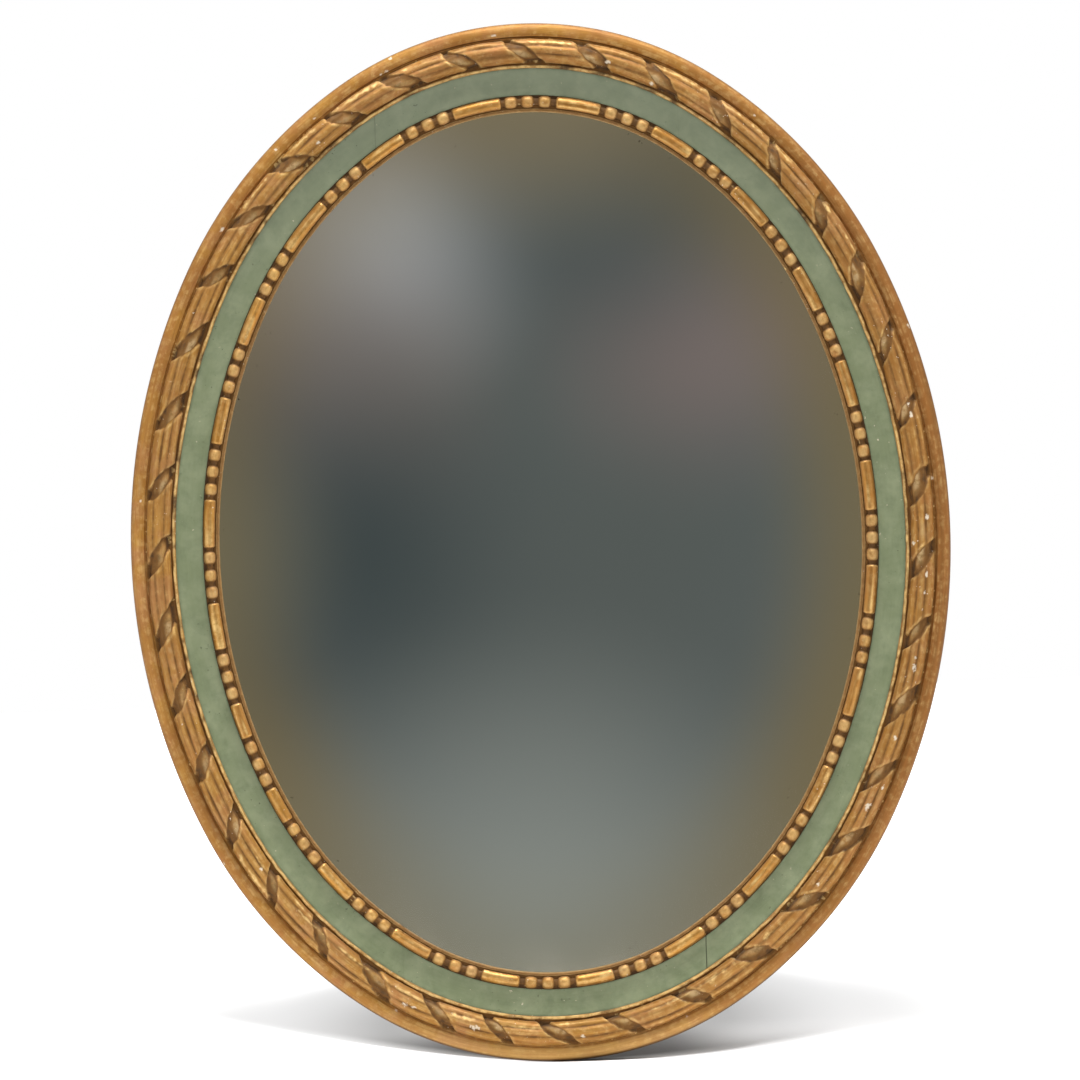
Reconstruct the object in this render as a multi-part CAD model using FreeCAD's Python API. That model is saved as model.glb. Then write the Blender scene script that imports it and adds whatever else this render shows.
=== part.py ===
import FreeCAD, Part
import math
import os
from collections import namedtuple

# Oval wall mirror in a carved, gilded and painted timber frame.
# Millimetres, +Z up, front facing -Y. The origin is the middle of the oval on the wall plane,
# which is the plane that the rubber bumpers touch.

# Oval outline
outer_width = 600.0
outer_height = 760.0
end_angle = 34.0
side_angle = 64.0

# Bands across the face, from the outer edge to the glass
rim_width = 10.8
reed_width = 19.4
fillet_width = 2.8
frieze_width = 19.6
bead_width = 9.7
lip_width = 2.4

# Timber core
core_setback = 1.5
edge_break = 0.8
rebate_seat = 5.1
frieze_base = 4.6
frieze_fall = 2.4
frieze_hollow = 0.9
joint_share = 0.185
tongue_thickness = 5.0
tongue_reach = 12.0
tongue_wall = 8.0
tongue_clearance = 0.15

# Glass and back
glass_thickness = 4.0
glass_clearance = 1.0
block_height = 5.7
block_clearance = 0.3
block_foot = 8.0
block_length = 40.0
board_thickness = 6.0
board_clearance = 0.5
board_count = 3
board_gap = 0.3

# Reeded moulding
moulding_thickness = 9.0
rim_crown = 6.0
rim_side = 5.5
rim_rise = 3.0
groove_width = 0.5
groove_depth = 0.8
fillet_rise = 2.2
fillet_slope = 0.7
reed_core_radius = 7.4
reed_valley_radius = 8.6
reed_crest_radius = 9.7
reed_sink = 1.2
reed_spread = 48.0
reed_foot_angle = 18.0
ribbon_count = 39
ribbon_radius = 8.9
ribbon_width = 7.6
ribbon_gap = 9.6
ribbon_slant = 42.0

# How far the carver's spacing has slipped: (share of the way round, share of the pitch)
ribbon_slip_shares = (
    (0, -0.04), (0.1, -0.04), (0.2, 0.04), (0.475, 0.54), (0.54, 0.2),
    (0.72, 0.22), (0.85, 0.31), (0.95, 0.18), (1, -0.04),
)
bead_slip_shares = (
    (0, 0.02), (0.17, 0.01), (0.33, 0.11), (0.42, 0.155), (0.46, 0.14), (0.55, 0),
    (0.62, -0.04), (0.71, -0.235), (0.83, -0.18), (0.88, -0.14), (0.92, -0.02), (1, 0.02),
)

# Bead-and-reel moulding
bead_seat = 3.9
bead_radius = 4.6
bead_rise = 1.0
bead_pitch = 12.7
reel_radius = 4.2
reel_gap = 4.0
reel_count = 24
lip_rise = 4.6
lip_round = 0.9

# Turn buttons
button_count = 8
button_thickness = 2.0
button_inward = 45.0
button_round = 6.5
button_tip_round = 4.5
button_length = 20.0
button_clearance = 0.1

# Screws
shank_radius = 1.75
pin_clearance = 0.1
pilot_clearance = 0.05
head_radius = 3.4
head_height = 1.5
head_edge = 0.5
slot_width = 0.8
slot_depth = 0.7
button_screw_depth = 12.0
hanger_screw_depth = 10.0
point_length = 3.0

# Strap hangers and their rings
hanger_angle = 71.0
hanger_inward = 30.0
strap_width = 12.0
strap_length = 42.0
strap_thickness = 1.2
strap_corner = 2.5
knuckle_radius = 2.8
knuckle_stand = 3.3
upper_screw_drop = 28.0
lower_screw_drop = 36.0
ring_wire_radius = 1.5
ring_bore_clearance = 0.08
ring_inner_width = 20.0
ring_leg = 6.0
ring_corner = 3.0

# Wall bumpers
bumper_angle = 118.0
bumper_inward = 30.0
bumper_radius = 8.0
bumper_thickness = 7.0
bumper_edge = 1.0

# Cutting tools run past the work by this much
overrun = 5.0

# Points closer than this are one point
same_point = 1e-6

# The upright joints stand this far to each side of the middle
joint_reach = outer_width * joint_share

# Lines along the face, measured inwards from the outer edge
reed_line = rim_width
fillet_line = reed_line + reed_width
frieze_line = fillet_line + fillet_width
bead_line = frieze_line + frieze_width
lip_line = bead_line + bead_width
sight_line = lip_line + lip_width
rebate_line = bead_line + rebate_seat
glass_line = rebate_line + glass_clearance
board_line = rebate_line + board_clearance
reed_centre = (reed_line + fillet_line) / 2
bead_centre = (bead_line + lip_line) / 2

# Levels, measured forwards from the flat back of the core
board_level = board_thickness
block_level = board_level + block_clearance
glass_level = block_level + block_height
rebate_level = glass_level + glass_thickness
frieze_inner_level = rebate_level + frieze_base
frieze_outer_level = frieze_inner_level + frieze_fall
reed_level = frieze_outer_level
ledge_level = reed_level - moulding_thickness
rim_level = reed_level + rim_rise
fillet_level = reed_level + fillet_rise
bead_level = rebate_level + bead_seat
bead_centre_level = bead_level + bead_rise
lip_level = rebate_level + lip_rise
front_level = reed_level + reed_crest_radius

diagonal_share = math.sqrt(0.5)
y_axis = FreeCAD.Vector(0, 1, 0)
x_axis = FreeCAD.Vector(1, 0, 0)

# An arc of the oval, between two angles of its outward normal, clockwise from the top
Span = namedtuple("Span", "start stop centre_x centre_z radius")

# A step of a section outline that bends through a middle point
Bend = namedtuple("Bend", "middle end")


def oval_spans():
    """The eight compass arcs that follow the ellipse of the outer edge."""
    half_width = outer_width / 2
    half_height = outer_height / 2
    middle = math.radians((end_angle + side_angle) / 2)
    spread = math.hypot(half_width * math.sin(middle), half_height * math.cos(middle))
    shoulder = (half_width * half_height) ** 2 / spread ** 3
    cos_end = math.cos(math.radians(end_angle))
    sin_end = math.sin(math.radians(end_angle))
    cos_side = math.cos(math.radians(side_angle))
    sin_side = math.sin(math.radians(side_angle))

    # Width and height fix the end radius and the side radius together
    across = half_width - shoulder * (sin_side - sin_end)
    upward = half_height - shoulder * (cos_end - cos_side)
    share = (1 - sin_side) / cos_side
    end = (across - upward * share) / (sin_end - (1 - cos_end) * share)
    side = (upward - end * (1 - cos_end)) / cos_side

    end_z = half_height - end
    shoulder_x = (end - shoulder) * sin_end
    shoulder_z = end_z + (end - shoulder) * cos_end
    side_x = half_width - side
    return [
        Span(-end_angle, end_angle, 0, end_z, end),
        Span(end_angle, side_angle, shoulder_x, shoulder_z, shoulder),
        Span(side_angle, 180 - side_angle, side_x, 0, side),
        Span(180 - side_angle, 180 - end_angle, shoulder_x, -shoulder_z, shoulder),
        Span(180 - end_angle, 180 + end_angle, 0, -end_z, end),
        Span(180 + end_angle, 180 + side_angle, -shoulder_x, -shoulder_z, shoulder),
        Span(180 + side_angle, 360 - side_angle, -side_x, 0, side),
        Span(360 - side_angle, 360 - end_angle, -shoulder_x, shoulder_z, shoulder),
    ]


spans = oval_spans()


def span_at(angle):
    """The arc that holds this normal angle."""
    turned = (angle + end_angle) % 360 - end_angle
    for span in spans:
        if turned <= span.stop:
            return span
    return spans[0]


def place(angle, inward, level):
    """Point at a normal angle, set in from the outer edge, at a level over the core's back."""
    span = span_at(angle)
    radius = span.radius - inward
    turn = math.radians(angle)
    x = span.centre_x + radius * math.sin(turn)
    z = span.centre_z + radius * math.cos(turn)
    return FreeCAD.Vector(x, -(bumper_thickness + level), z)


def span_length(span, inward):
    """Length of one arc of the line that lies this far in."""
    return (span.radius - inward) * math.radians(span.stop - span.start)


def line_length(inward):
    """Length all round of the line that lies this far in."""
    return sum(span_length(span, inward) for span in spans)


def angle_at(distance, inward):
    """Normal angle at a distance clockwise from the top along the line that lies this far in."""
    left = (distance + span_length(spans[0], inward) / 2) % line_length(inward)
    for span in spans:
        length = span_length(span, inward)
        if left <= length:
            return span.start + math.degrees(left / (span.radius - inward))
        left -= length
    return spans[-1].stop


def height_at(reach, inward):
    """Height of the line that lies this far in, at a distance from the upright middle plane."""
    for span in spans[:3]:
        radius = span.radius - inward
        sine = (reach - span.centre_x) / radius
        if sine <= math.sin(math.radians(span.stop)):
            return span.centre_z + radius * math.sqrt(1 - sine ** 2)
    return 0


def section_face(steps, angle):
    """Face of a section outline, given as (inward, level) points and bends, at a normal angle."""
    edges = []
    first = place(angle, *steps[0])
    here = first
    for step in steps[1:]:
        if isinstance(step, Bend):
            there = place(angle, *step.end)
            edges.append(Part.Arc(here, place(angle, *step.middle), there).toShape())
        else:
            there = place(angle, *step)
            edges.append(Part.makeLine(here, there))
        here = there
    if not here.isEqual(first, same_point):
        edges.append(Part.makeLine(here, first))
    return Part.Face(Part.Wire(edges))


def swept(steps, start, stop):
    """Solid of a section carried round the oval between two normal angles."""
    pieces = []
    for span in spans:
        for turn in (-360, 0, 360):
            low = max(start, span.start + turn)
            high = min(stop, span.stop + turn)
            if high > low:
                centre = FreeCAD.Vector(span.centre_x, 0, span.centre_z)
                face = section_face(steps, (low + high) / 2)
                face.rotate(centre, y_axis, (low - high) / 2)
                pieces.append(face.revolve(centre, y_axis, high - low))
    if len(pieces) == 1:
        return pieces[0]
    return pieces[0].fuse(pieces[1:]).removeSplitter()


def ring(steps):
    """Solid of a section carried all round the oval."""
    return swept(steps, spans[0].start, spans[-1].stop)


def centred_box(width, depth, height, middle=FreeCAD.Vector(0, 0, 0)):
    """Box of a width in X, a depth in Y and a height in Z about a middle point."""
    corner = middle - FreeCAD.Vector(width / 2, depth / 2, height / 2)
    return Part.makeBox(width, depth, height, corner)


def moved(shape, vector):
    """Copy of a shape moved by a vector."""
    copy = shape.copy()
    copy.translate(vector)
    return copy


def set_at(shape, angle, inward, level=0):
    """Copy of a shape, made with +Z outwards and +Y backwards, set at a place on the frame."""
    copy = shape.copy()
    copy.Placement = FreeCAD.Placement(
        place(angle, inward, level), FreeCAD.Rotation(y_axis, angle)
    )
    return copy


def quarters():
    """Boxes that part the frame at its four upright joints: two rails and two stiles."""
    depth = 2 * (bumper_thickness + front_level + overrun)
    stile_width = outer_width / 2 + overrun - joint_reach
    stile_middle = joint_reach + stile_width / 2
    rail_height = outer_height / 2 + overrun
    tall = 2 * rail_height
    return {
        "top": centred_box(2 * joint_reach, depth, rail_height,
                           FreeCAD.Vector(0, 0, rail_height / 2)),
        "bottom": centred_box(2 * joint_reach, depth, rail_height,
                              FreeCAD.Vector(0, 0, -rail_height / 2)),
        "left": centred_box(stile_width, depth, tall, FreeCAD.Vector(-stile_middle, 0, 0)),
        "right": centred_box(stile_width, depth, tall, FreeCAD.Vector(stile_middle, 0, 0)),
    }


def parted(shape, name):
    """The four lengths of a ring, by node name."""
    return {f"{name}_{side}": shape.common(box) for side, box in quarters().items()}


# Timber core

def core_ring():
    """Rebated core with the hollow painted frieze."""
    hollow_level = (frieze_inner_level + frieze_outer_level) / 2 - frieze_hollow
    hollow = ((frieze_line + bead_line) / 2, hollow_level)
    return ring([
        (core_setback, edge_break),
        (core_setback + edge_break, 0),
        (rebate_line, 0),
        (rebate_line, rebate_level),
        (bead_line, rebate_level),
        (bead_line, frieze_inner_level),
        Bend(hollow, (frieze_line, frieze_outer_level)),
        (frieze_line, ledge_level),
        (core_setback, ledge_level),
    ])


def tongue(side, end, clearance):
    """Loose tongue across an upright joint, side -1 left or 1 right, end -1 bottom or 1 top."""
    outside = height_at(joint_reach + tongue_reach, core_setback) - tongue_wall
    inside = height_at(joint_reach - tongue_reach, rebate_line) + tongue_wall
    middle = FreeCAD.Vector(
        side * joint_reach,
        -(bumper_thickness + ledge_level / 2),
        end * (outside + inside) / 2,
    )
    return centred_box(
        2 * (tongue_reach + clearance),
        tongue_thickness + 2 * clearance,
        outside - inside + 2 * clearance,
        middle,
    )


joint_ends = {
    "top_left": (-1, 1),
    "top_right": (1, 1),
    "bottom_left": (-1, -1),
    "bottom_right": (1, -1),
}


def tongues():
    """The four loose tongues, a little smaller than their mortises."""
    return {f"joint_tongue_{name}": tongue(*end, 0) for name, end in joint_ends.items()}


# Glass and back

def oval_plate(inward, low, high):
    """Plate inside the oval line that lies this far in, between two levels."""
    edges = []
    for span in spans:
        corners = [span.start, (span.start + span.stop) / 2, span.stop]
        edges.append(Part.Arc(*[place(angle, inward, low) for angle in corners]).toShape())
    face = Part.Face(Part.Wire(edges))
    return face.extrude(FreeCAD.Vector(0, low - high, 0))


def glazing_blocks():
    """Eight glued triangular blocks behind the glass, one between each two turn buttons."""
    section = [
        (rebate_line, block_level),
        (rebate_line, glass_level),
        (rebate_line + block_foot, glass_level),
    ]
    blocks = []
    for index in range(button_count):
        middle = (index + 0.5) * 360 / button_count
        half = math.degrees(block_length / 2 / (span_at(middle).radius - rebate_line))
        blocks.append(swept(section, middle - half, middle + half))
    return Part.makeCompound(blocks)


def back_boards():
    """Three upright boards that fill the rebate behind the glass."""
    plate = oval_plate(board_line, 0, board_level)
    width = (outer_width - 2 * board_line) / board_count
    depth = 2 * (bumper_thickness + board_level + overrun)
    gap = centred_box(board_gap, depth, outer_height)
    gaps = [moved(gap, FreeCAD.Vector(side * width / 2, 0, 0)) for side in (-1, 1)]
    boards = sorted(plate.cut(gaps).Solids, key=lambda board: board.CenterOfMass.x)
    return {
        f"back_board_{name}": board
        for name, board in zip(("left", "middle", "right"), boards)
    }


# Reeded moulding

def around_reed(radius, angle):
    """Point on the half-round reed, at an angle from its outer foot over the crest."""
    turn = math.radians(angle)
    return (reed_centre - radius * math.cos(turn), reed_level + radius * math.sin(turn))


def reeded_base():
    """Rim, groove, the half-round body under the reeds, and the fillet."""
    rim_middle = (
        rim_crown * (1 - diagonal_share),
        ledge_level + rim_side + (rim_level - ledge_level - rim_side) * diagonal_share,
    )
    inner_fall = rim_width - groove_width
    rim_shoulder = ((rim_crown + inner_fall) / 2, rim_level - (rim_rise - groove_depth) / 4)
    return ring([
        (0, ledge_level),
        (0, ledge_level + rim_side),
        Bend(rim_middle, (rim_crown, rim_level)),
        Bend(rim_shoulder, (inner_fall, reed_level + groove_depth)),
        (rim_width, reed_level),
        around_reed(reed_core_radius, 0),
        Bend(around_reed(reed_core_radius, 90), around_reed(reed_core_radius, 180)),
        (fillet_line, reed_level),
        (fillet_line, fillet_level),
        (frieze_line - fillet_slope, fillet_level),
        (frieze_line, fillet_level - fillet_slope),
        (frieze_line, ledge_level),
    ])


def reeds():
    """Three reeds side by side over the half-round body."""
    outer_foot = around_reed(reed_valley_radius, reed_foot_angle)
    inner_foot = around_reed(reed_valley_radius, 180 - reed_foot_angle)
    steps = [(outer_foot[0], reed_level - reed_sink), outer_foot]
    for crest in (90 - reed_spread, 90, 90 + reed_spread):
        valley = crest + reed_spread / 2
        steps.append(Bend(around_reed(reed_crest_radius, crest),
                          around_reed(reed_valley_radius, valley)))
    steps.append((inner_foot[0], reed_level - reed_sink))
    return ring(steps)


def ribbon_body():
    """Half-round from which the ribbon crossings are taken."""
    return ring([
        (reed_centre - ribbon_radius, reed_level - reed_sink),
        around_reed(ribbon_radius, 0),
        Bend(around_reed(ribbon_radius, 90), around_reed(ribbon_radius, 180)),
        (reed_centre + ribbon_radius, reed_level - reed_sink),
    ])


def spaced(count, slip_shares, inward):
    """Distances round the line that lies this far in, spaced as the carver's spacing slipped."""
    pitch = line_length(inward) / count
    distances = []
    for index in range(count):
        way = index / count
        for (start, first), (stop, last) in zip(slip_shares, slip_shares[1:]):
            if start <= way < stop:
                slip = first + (last - first) * (way - start) / (stop - start)
                distances.append((index + slip) * pitch)
    return distances


def ribbon_angles():
    """Normal angles of the ribbon crossings."""
    distances = spaced(ribbon_count, ribbon_slip_shares, reed_centre)
    return [angle_at(distance, reed_centre) for distance in distances]


def slanted_bands(width):
    """Slanted blocks over the reeds at every ribbon, going inwards clockwise."""
    length = reed_width / math.sin(math.radians(ribbon_slant)) + width + overrun
    depth = 2 * (reed_crest_radius + overrun)
    block = centred_box(length, depth, width)
    block.rotate(FreeCAD.Vector(0, 0, 0), y_axis, ribbon_slant)
    bands = [set_at(block, angle, reed_centre, reed_level) for angle in ribbon_angles()]
    return Part.makeCompound(bands)


def reeded_ring():
    """The whole ribbon-and-reed moulding."""
    strands = reeds().cut(slanted_bands(ribbon_gap))
    ribbons = ribbon_body().common(slanted_bands(ribbon_width))
    return reeded_base().fuse([strands, ribbons])


# Bead-and-reel moulding

def beaded_base():
    """Seat of the beads and the sight lip that holds the glass."""
    lip_middle = (
        sight_line - lip_round * (1 - diagonal_share),
        lip_level - lip_round * (1 - diagonal_share),
    )
    return ring([
        (bead_line, rebate_level),
        (bead_line, bead_level),
        (lip_line, bead_level),
        (lip_line, lip_level),
        (sight_line - lip_round, lip_level),
        Bend(lip_middle, (sight_line, lip_level - lip_round)),
        (sight_line, rebate_level),
    ])


def reel_section():
    """Round section of a reel."""
    return [
        (bead_centre - reel_radius, bead_centre_level),
        Bend((bead_centre, bead_centre_level + reel_radius),
             (bead_centre + reel_radius, bead_centre_level)),
        Bend((bead_centre, bead_centre_level - reel_radius),
             (bead_centre - reel_radius, bead_centre_level)),
    ]


def bead_places():
    """Middles of the beads and both ends of the reels, as distances along their line."""
    groups = spaced(reel_count, bead_slip_shares, bead_centre)
    beads = [group + side * bead_pitch for group in groups for side in (-1, 0, 1)]
    clear = bead_pitch + bead_radius + reel_gap
    following = groups[1:] + [groups[0] + line_length(bead_centre)]
    reels = [(here + clear, after - clear) for here, after in zip(groups, following)]
    return beads, reels


def beaded_ring():
    """The whole bead-and-reel moulding with its sight lip."""
    beads, reels = bead_places()
    ornaments = []
    for distance in beads:
        middle = place(angle_at(distance, bead_centre), bead_centre, bead_centre_level)
        ornaments.append(Part.makeSphere(bead_radius, middle))
    for first, last in reels:
        start = angle_at(first, bead_centre)
        stop = angle_at(last, bead_centre)
        ornaments.append(swept(reel_section(), start, start + (stop - start) % 360))
    return beaded_base().fuse(ornaments)


# Turned pieces and screws, made about the Y axis with +Y backwards

def turned(steps):
    """Solid of revolution about the Y axis, from (radius, y) points and bends."""
    def point(place_on_section):
        return FreeCAD.Vector(place_on_section[0], place_on_section[1], 0)

    edges = []
    here = steps[0]
    for step in steps[1:] + steps[:1]:
        if isinstance(step, Bend):
            edges.append(Part.Arc(point(here), point(step.middle), point(step.end)).toShape())
            here = step.end
        else:
            edges.append(Part.makeLine(point(here), point(step)))
            here = step
    return Part.Face(Part.Wire(edges)).revolve(FreeCAD.Vector(0, 0, 0), y_axis, 360)


def screw(under_head, depth):
    """Slotted round-head screw, with its head seated at a Y and its point a depth in the timber."""
    head_top = under_head + head_height
    dome_middle = (
        head_radius * diagonal_share,
        under_head + head_edge + (head_height - head_edge) * diagonal_share,
    )
    body = turned([
        (0, -depth),
        (shank_radius, point_length - depth),
        (shank_radius, under_head),
        (head_radius, under_head),
        (head_radius, under_head + head_edge),
        Bend(dome_middle, (0, head_top)),
    ])
    slot_height = slot_depth + overrun
    slot_middle = FreeCAD.Vector(0, head_top - slot_depth + slot_height / 2, 0)
    return body.cut(centred_box(2 * head_radius + overrun, slot_height, slot_width, slot_middle))


def pilot_hole(depth):
    """Hole in the timber for a screw's shank."""
    bottom = FreeCAD.Vector(0, -(depth + pilot_clearance), 0)
    return Part.makeCylinder(shank_radius + pilot_clearance, depth + overrun, bottom, y_axis)


# Turn buttons

button_names = [
    "top", "upper_right", "right", "lower_right",
    "bottom", "lower_left", "left", "upper_left",
]
button_angles = [index * 360 / button_count for index in range(button_count)]


def turn_button():
    """Tapered brass plate that turns on its screw and points inwards over the back boards."""
    lean = math.acos((button_round - button_tip_round) / button_length)
    across = math.sin(lean)
    along = math.cos(lean)

    def rim_point(radius, side, middle_z):
        return FreeCAD.Vector(side * radius * across, button_clearance, middle_z - radius * along)

    pivot_left = rim_point(button_round, -1, 0)
    pivot_right = rim_point(button_round, 1, 0)
    tip_left = rim_point(button_tip_round, -1, -button_length)
    tip_right = rim_point(button_tip_round, 1, -button_length)
    crown = FreeCAD.Vector(0, button_clearance, button_round)
    tip = FreeCAD.Vector(0, button_clearance, -button_length - button_tip_round)
    outline = Part.Wire([
        Part.Arc(pivot_left, crown, pivot_right).toShape(),
        Part.makeLine(pivot_right, tip_right),
        Part.Arc(tip_right, tip, tip_left).toShape(),
        Part.makeLine(tip_left, pivot_left),
    ])
    plate = Part.Face(outline).extrude(FreeCAD.Vector(0, button_thickness, 0))
    bottom = FreeCAD.Vector(0, -overrun, 0)
    hole = Part.makeCylinder(shank_radius + pin_clearance, 3 * overrun, bottom, y_axis)
    return plate.cut(hole)


def turn_buttons():
    """Eight turn buttons round the back."""
    button = turn_button()
    return {
        f"turn_button_{name}": set_at(button, angle, button_inward)
        for name, angle in zip(button_names, button_angles)
    }


def button_screws():
    """One screw in the middle of each turn button's round end."""
    piece = screw(button_thickness + 2 * button_clearance, button_screw_depth)
    return Part.makeCompound([set_at(piece, angle, button_inward) for angle in button_angles])


# Strap hangers

hanger_sides = {"left": -1, "right": 1}
screw_drops = (upper_screw_drop, lower_screw_drop)


def hanger_point(side):
    """Point on the core's back straight in front of a hanger's knuckle."""
    return place(side * hanger_angle, hanger_inward, 0)


def strap():
    """Strap rolled into a knuckle at its upper end, with two screw holes."""
    plate_middle = FreeCAD.Vector(0, strap_thickness / 2, -strap_length / 2)
    plate = centred_box(strap_width, strap_thickness, strap_length, plate_middle)
    lower_corners = [
        edge for edge in plate.Edges
        if edge.BoundBox.ZMax < -strap_length / 2 and edge.BoundBox.YLength > strap_thickness / 2
    ]
    plate = plate.makeFillet(strap_corner, lower_corners)
    end = FreeCAD.Vector(-strap_width / 2, knuckle_stand, 0)
    body = plate.fuse(Part.makeCylinder(knuckle_radius, strap_width, end, x_axis))
    bore_end = FreeCAD.Vector(-strap_width, knuckle_stand, 0)
    bore_radius = ring_wire_radius + ring_bore_clearance
    body = body.cut(Part.makeCylinder(bore_radius, 2 * strap_width, bore_end, x_axis))
    for drop in screw_drops:
        bottom = FreeCAD.Vector(0, -overrun, -drop)
        hole_radius = shank_radius + pin_clearance
        body = body.cut(Part.makeCylinder(hole_radius, 3 * overrun, bottom, y_axis))
    return body


def hanging_ring():
    """D-shaped wire ring whose straight bar lies in the knuckle, hanging down."""
    reach = ring_inner_width / 2 + ring_wire_radius
    bar = reach - ring_corner
    leg_end = -(ring_corner + ring_leg)
    corner_shift = ring_corner * (1 - diagonal_share)

    def point(x, z):
        return FreeCAD.Vector(x, knuckle_stand, z)

    path = Part.Wire([
        Part.makeLine(point(-bar, 0), point(bar, 0)),
        Part.Arc(point(bar, 0), point(reach - corner_shift, -corner_shift),
                 point(reach, -ring_corner)).toShape(),
        Part.makeLine(point(reach, -ring_corner), point(reach, leg_end)),
        Part.Arc(point(reach, leg_end), point(0, leg_end - reach),
                 point(-reach, leg_end)).toShape(),
        Part.makeLine(point(-reach, leg_end), point(-reach, -ring_corner)),
        Part.Arc(point(-reach, -ring_corner), point(corner_shift - reach, -corner_shift),
                 point(-bar, 0)).toShape(),
    ])
    wire_section = Part.Wire(Part.makeCircle(ring_wire_radius, point(-bar, 0), x_axis))
    return path.makePipeShell([wire_section], True, True)


def hangers():
    """Both straps and both rings, by node name."""
    pieces = {}
    for name, side in hanger_sides.items():
        pieces[f"strap_hanger_{name}"] = moved(strap(), hanger_point(side))
        pieces[f"hanging_ring_{name}"] = moved(hanging_ring(), hanger_point(side))
    return pieces


def hanger_screws():
    """Two screws in each strap."""
    piece = screw(strap_thickness, hanger_screw_depth)
    screws = []
    for side in hanger_sides.values():
        for drop in screw_drops:
            screws.append(moved(piece, hanger_point(side) - FreeCAD.Vector(0, 0, drop)))
    return Part.makeCompound(screws)


# Wall bumpers

def bumpers():
    """Two rubber buttons low on the back that stand the frame off the wall."""
    piece = turned([
        (0, 0),
        (bumper_radius, 0),
        (bumper_radius, bumper_thickness - bumper_edge),
        (bumper_radius - bumper_edge, bumper_thickness),
        (0, bumper_thickness),
    ])
    return {
        "wall_bumper_left": set_at(piece, 360 - bumper_angle, bumper_inward),
        "wall_bumper_right": set_at(piece, bumper_angle, bumper_inward),
    }


# The whole mirror

def frame_cores():
    """Core rails and stiles with their mortises and the screws' pilot holes."""
    hollows = [tongue(*end, tongue_clearance) for end in joint_ends.values()]
    button_hole = pilot_hole(button_screw_depth)
    hollows += [set_at(button_hole, angle, button_inward) for angle in button_angles]
    hanger_hole = pilot_hole(hanger_screw_depth)
    for side in hanger_sides.values():
        for drop in screw_drops:
            hollows.append(moved(hanger_hole, hanger_point(side) - FreeCAD.Vector(0, 0, drop)))
    return parted(core_ring().cut(hollows), "frame_core")


def all_nodes():
    """Every piece of the mirror, by node name."""
    nodes = {}
    nodes.update(frame_cores())
    nodes.update(tongues())
    nodes.update(parted(reeded_ring(), "reeded_moulding"))
    nodes.update(parted(beaded_ring(), "beaded_moulding"))
    nodes["mirror_plate"] = oval_plate(glass_line, glass_level, rebate_level)
    nodes["glazing_blocks"] = glazing_blocks()
    nodes.update(back_boards())
    nodes.update(turn_buttons())
    nodes["turn_button_screws"] = button_screws()
    nodes.update(hangers())
    nodes["hanger_screws"] = hanger_screws()
    nodes.update(bumpers())
    return nodes


os.makedirs("parts", exist_ok=True)
for node, shape in all_nodes().items():
    shape.exportStep(f"parts/{node}.step")
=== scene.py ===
"""Oval wall mirror: the looks of its carved, gilded and painted frame, built round the packed frame."""

import math
from types import SimpleNamespace

import bpy
import numpy as np
from bpy.props import FloatProperty, FloatVectorProperty, PointerProperty
from bpy.types import Operator, Panel, PropertyGroup
from mathutils import Matrix, Vector


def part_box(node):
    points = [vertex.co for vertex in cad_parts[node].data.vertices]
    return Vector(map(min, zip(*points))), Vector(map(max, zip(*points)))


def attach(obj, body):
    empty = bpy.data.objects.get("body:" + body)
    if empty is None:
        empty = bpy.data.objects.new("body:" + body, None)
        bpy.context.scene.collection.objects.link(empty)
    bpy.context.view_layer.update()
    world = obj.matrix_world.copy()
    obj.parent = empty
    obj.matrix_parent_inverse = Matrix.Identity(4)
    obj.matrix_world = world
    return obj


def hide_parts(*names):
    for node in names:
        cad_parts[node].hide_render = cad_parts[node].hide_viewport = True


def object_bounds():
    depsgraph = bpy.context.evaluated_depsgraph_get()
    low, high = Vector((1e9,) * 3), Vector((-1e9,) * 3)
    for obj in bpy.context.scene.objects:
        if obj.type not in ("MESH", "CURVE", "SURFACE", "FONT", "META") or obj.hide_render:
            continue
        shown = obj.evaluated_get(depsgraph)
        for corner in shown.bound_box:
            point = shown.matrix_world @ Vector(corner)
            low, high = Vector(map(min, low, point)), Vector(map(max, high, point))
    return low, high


bl_info = {
    "name": "Oval Mirror",
    "version": (1, 0, 0),
    "blender": (4, 5, 0),
    "location": "View3D > Sidebar > Oval Mirror",
    "description": "Carved, gilded and painted oval mirror built round its packed frame",
    "category": "Add Mesh",
}

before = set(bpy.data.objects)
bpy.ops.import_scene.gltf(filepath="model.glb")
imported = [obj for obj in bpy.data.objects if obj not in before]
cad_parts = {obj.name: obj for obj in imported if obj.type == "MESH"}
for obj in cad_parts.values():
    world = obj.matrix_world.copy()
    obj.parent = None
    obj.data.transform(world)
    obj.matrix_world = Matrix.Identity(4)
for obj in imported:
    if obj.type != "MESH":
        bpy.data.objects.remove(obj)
cad_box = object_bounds()

MM = 0.001
QUARTERS = ("top", "right", "bottom", "left")


# Sizes and colours

def length(name, default, description):
    """A length that a user may change, in metres."""
    return FloatProperty(name=name, description=description, default=default,
                         unit="LENGTH", subtype="DISTANCE", precision=5)


def share(name, default, description):
    """A share from nought to one."""
    return FloatProperty(name=name, description=description, default=default,
                         min=0.0, max=1.0, subtype="FACTOR")


def tone(name, default, description):
    """A colour, written as light."""
    return FloatVectorProperty(name=name, description=description, default=default,
                               size=3, min=0.0, max=1.0, subtype="COLOR")


def turn(name, degrees, description):
    """An angle."""
    return FloatProperty(name=name, description=description, default=math.radians(degrees),
                         unit="ROTATION", subtype="ANGLE")


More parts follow.
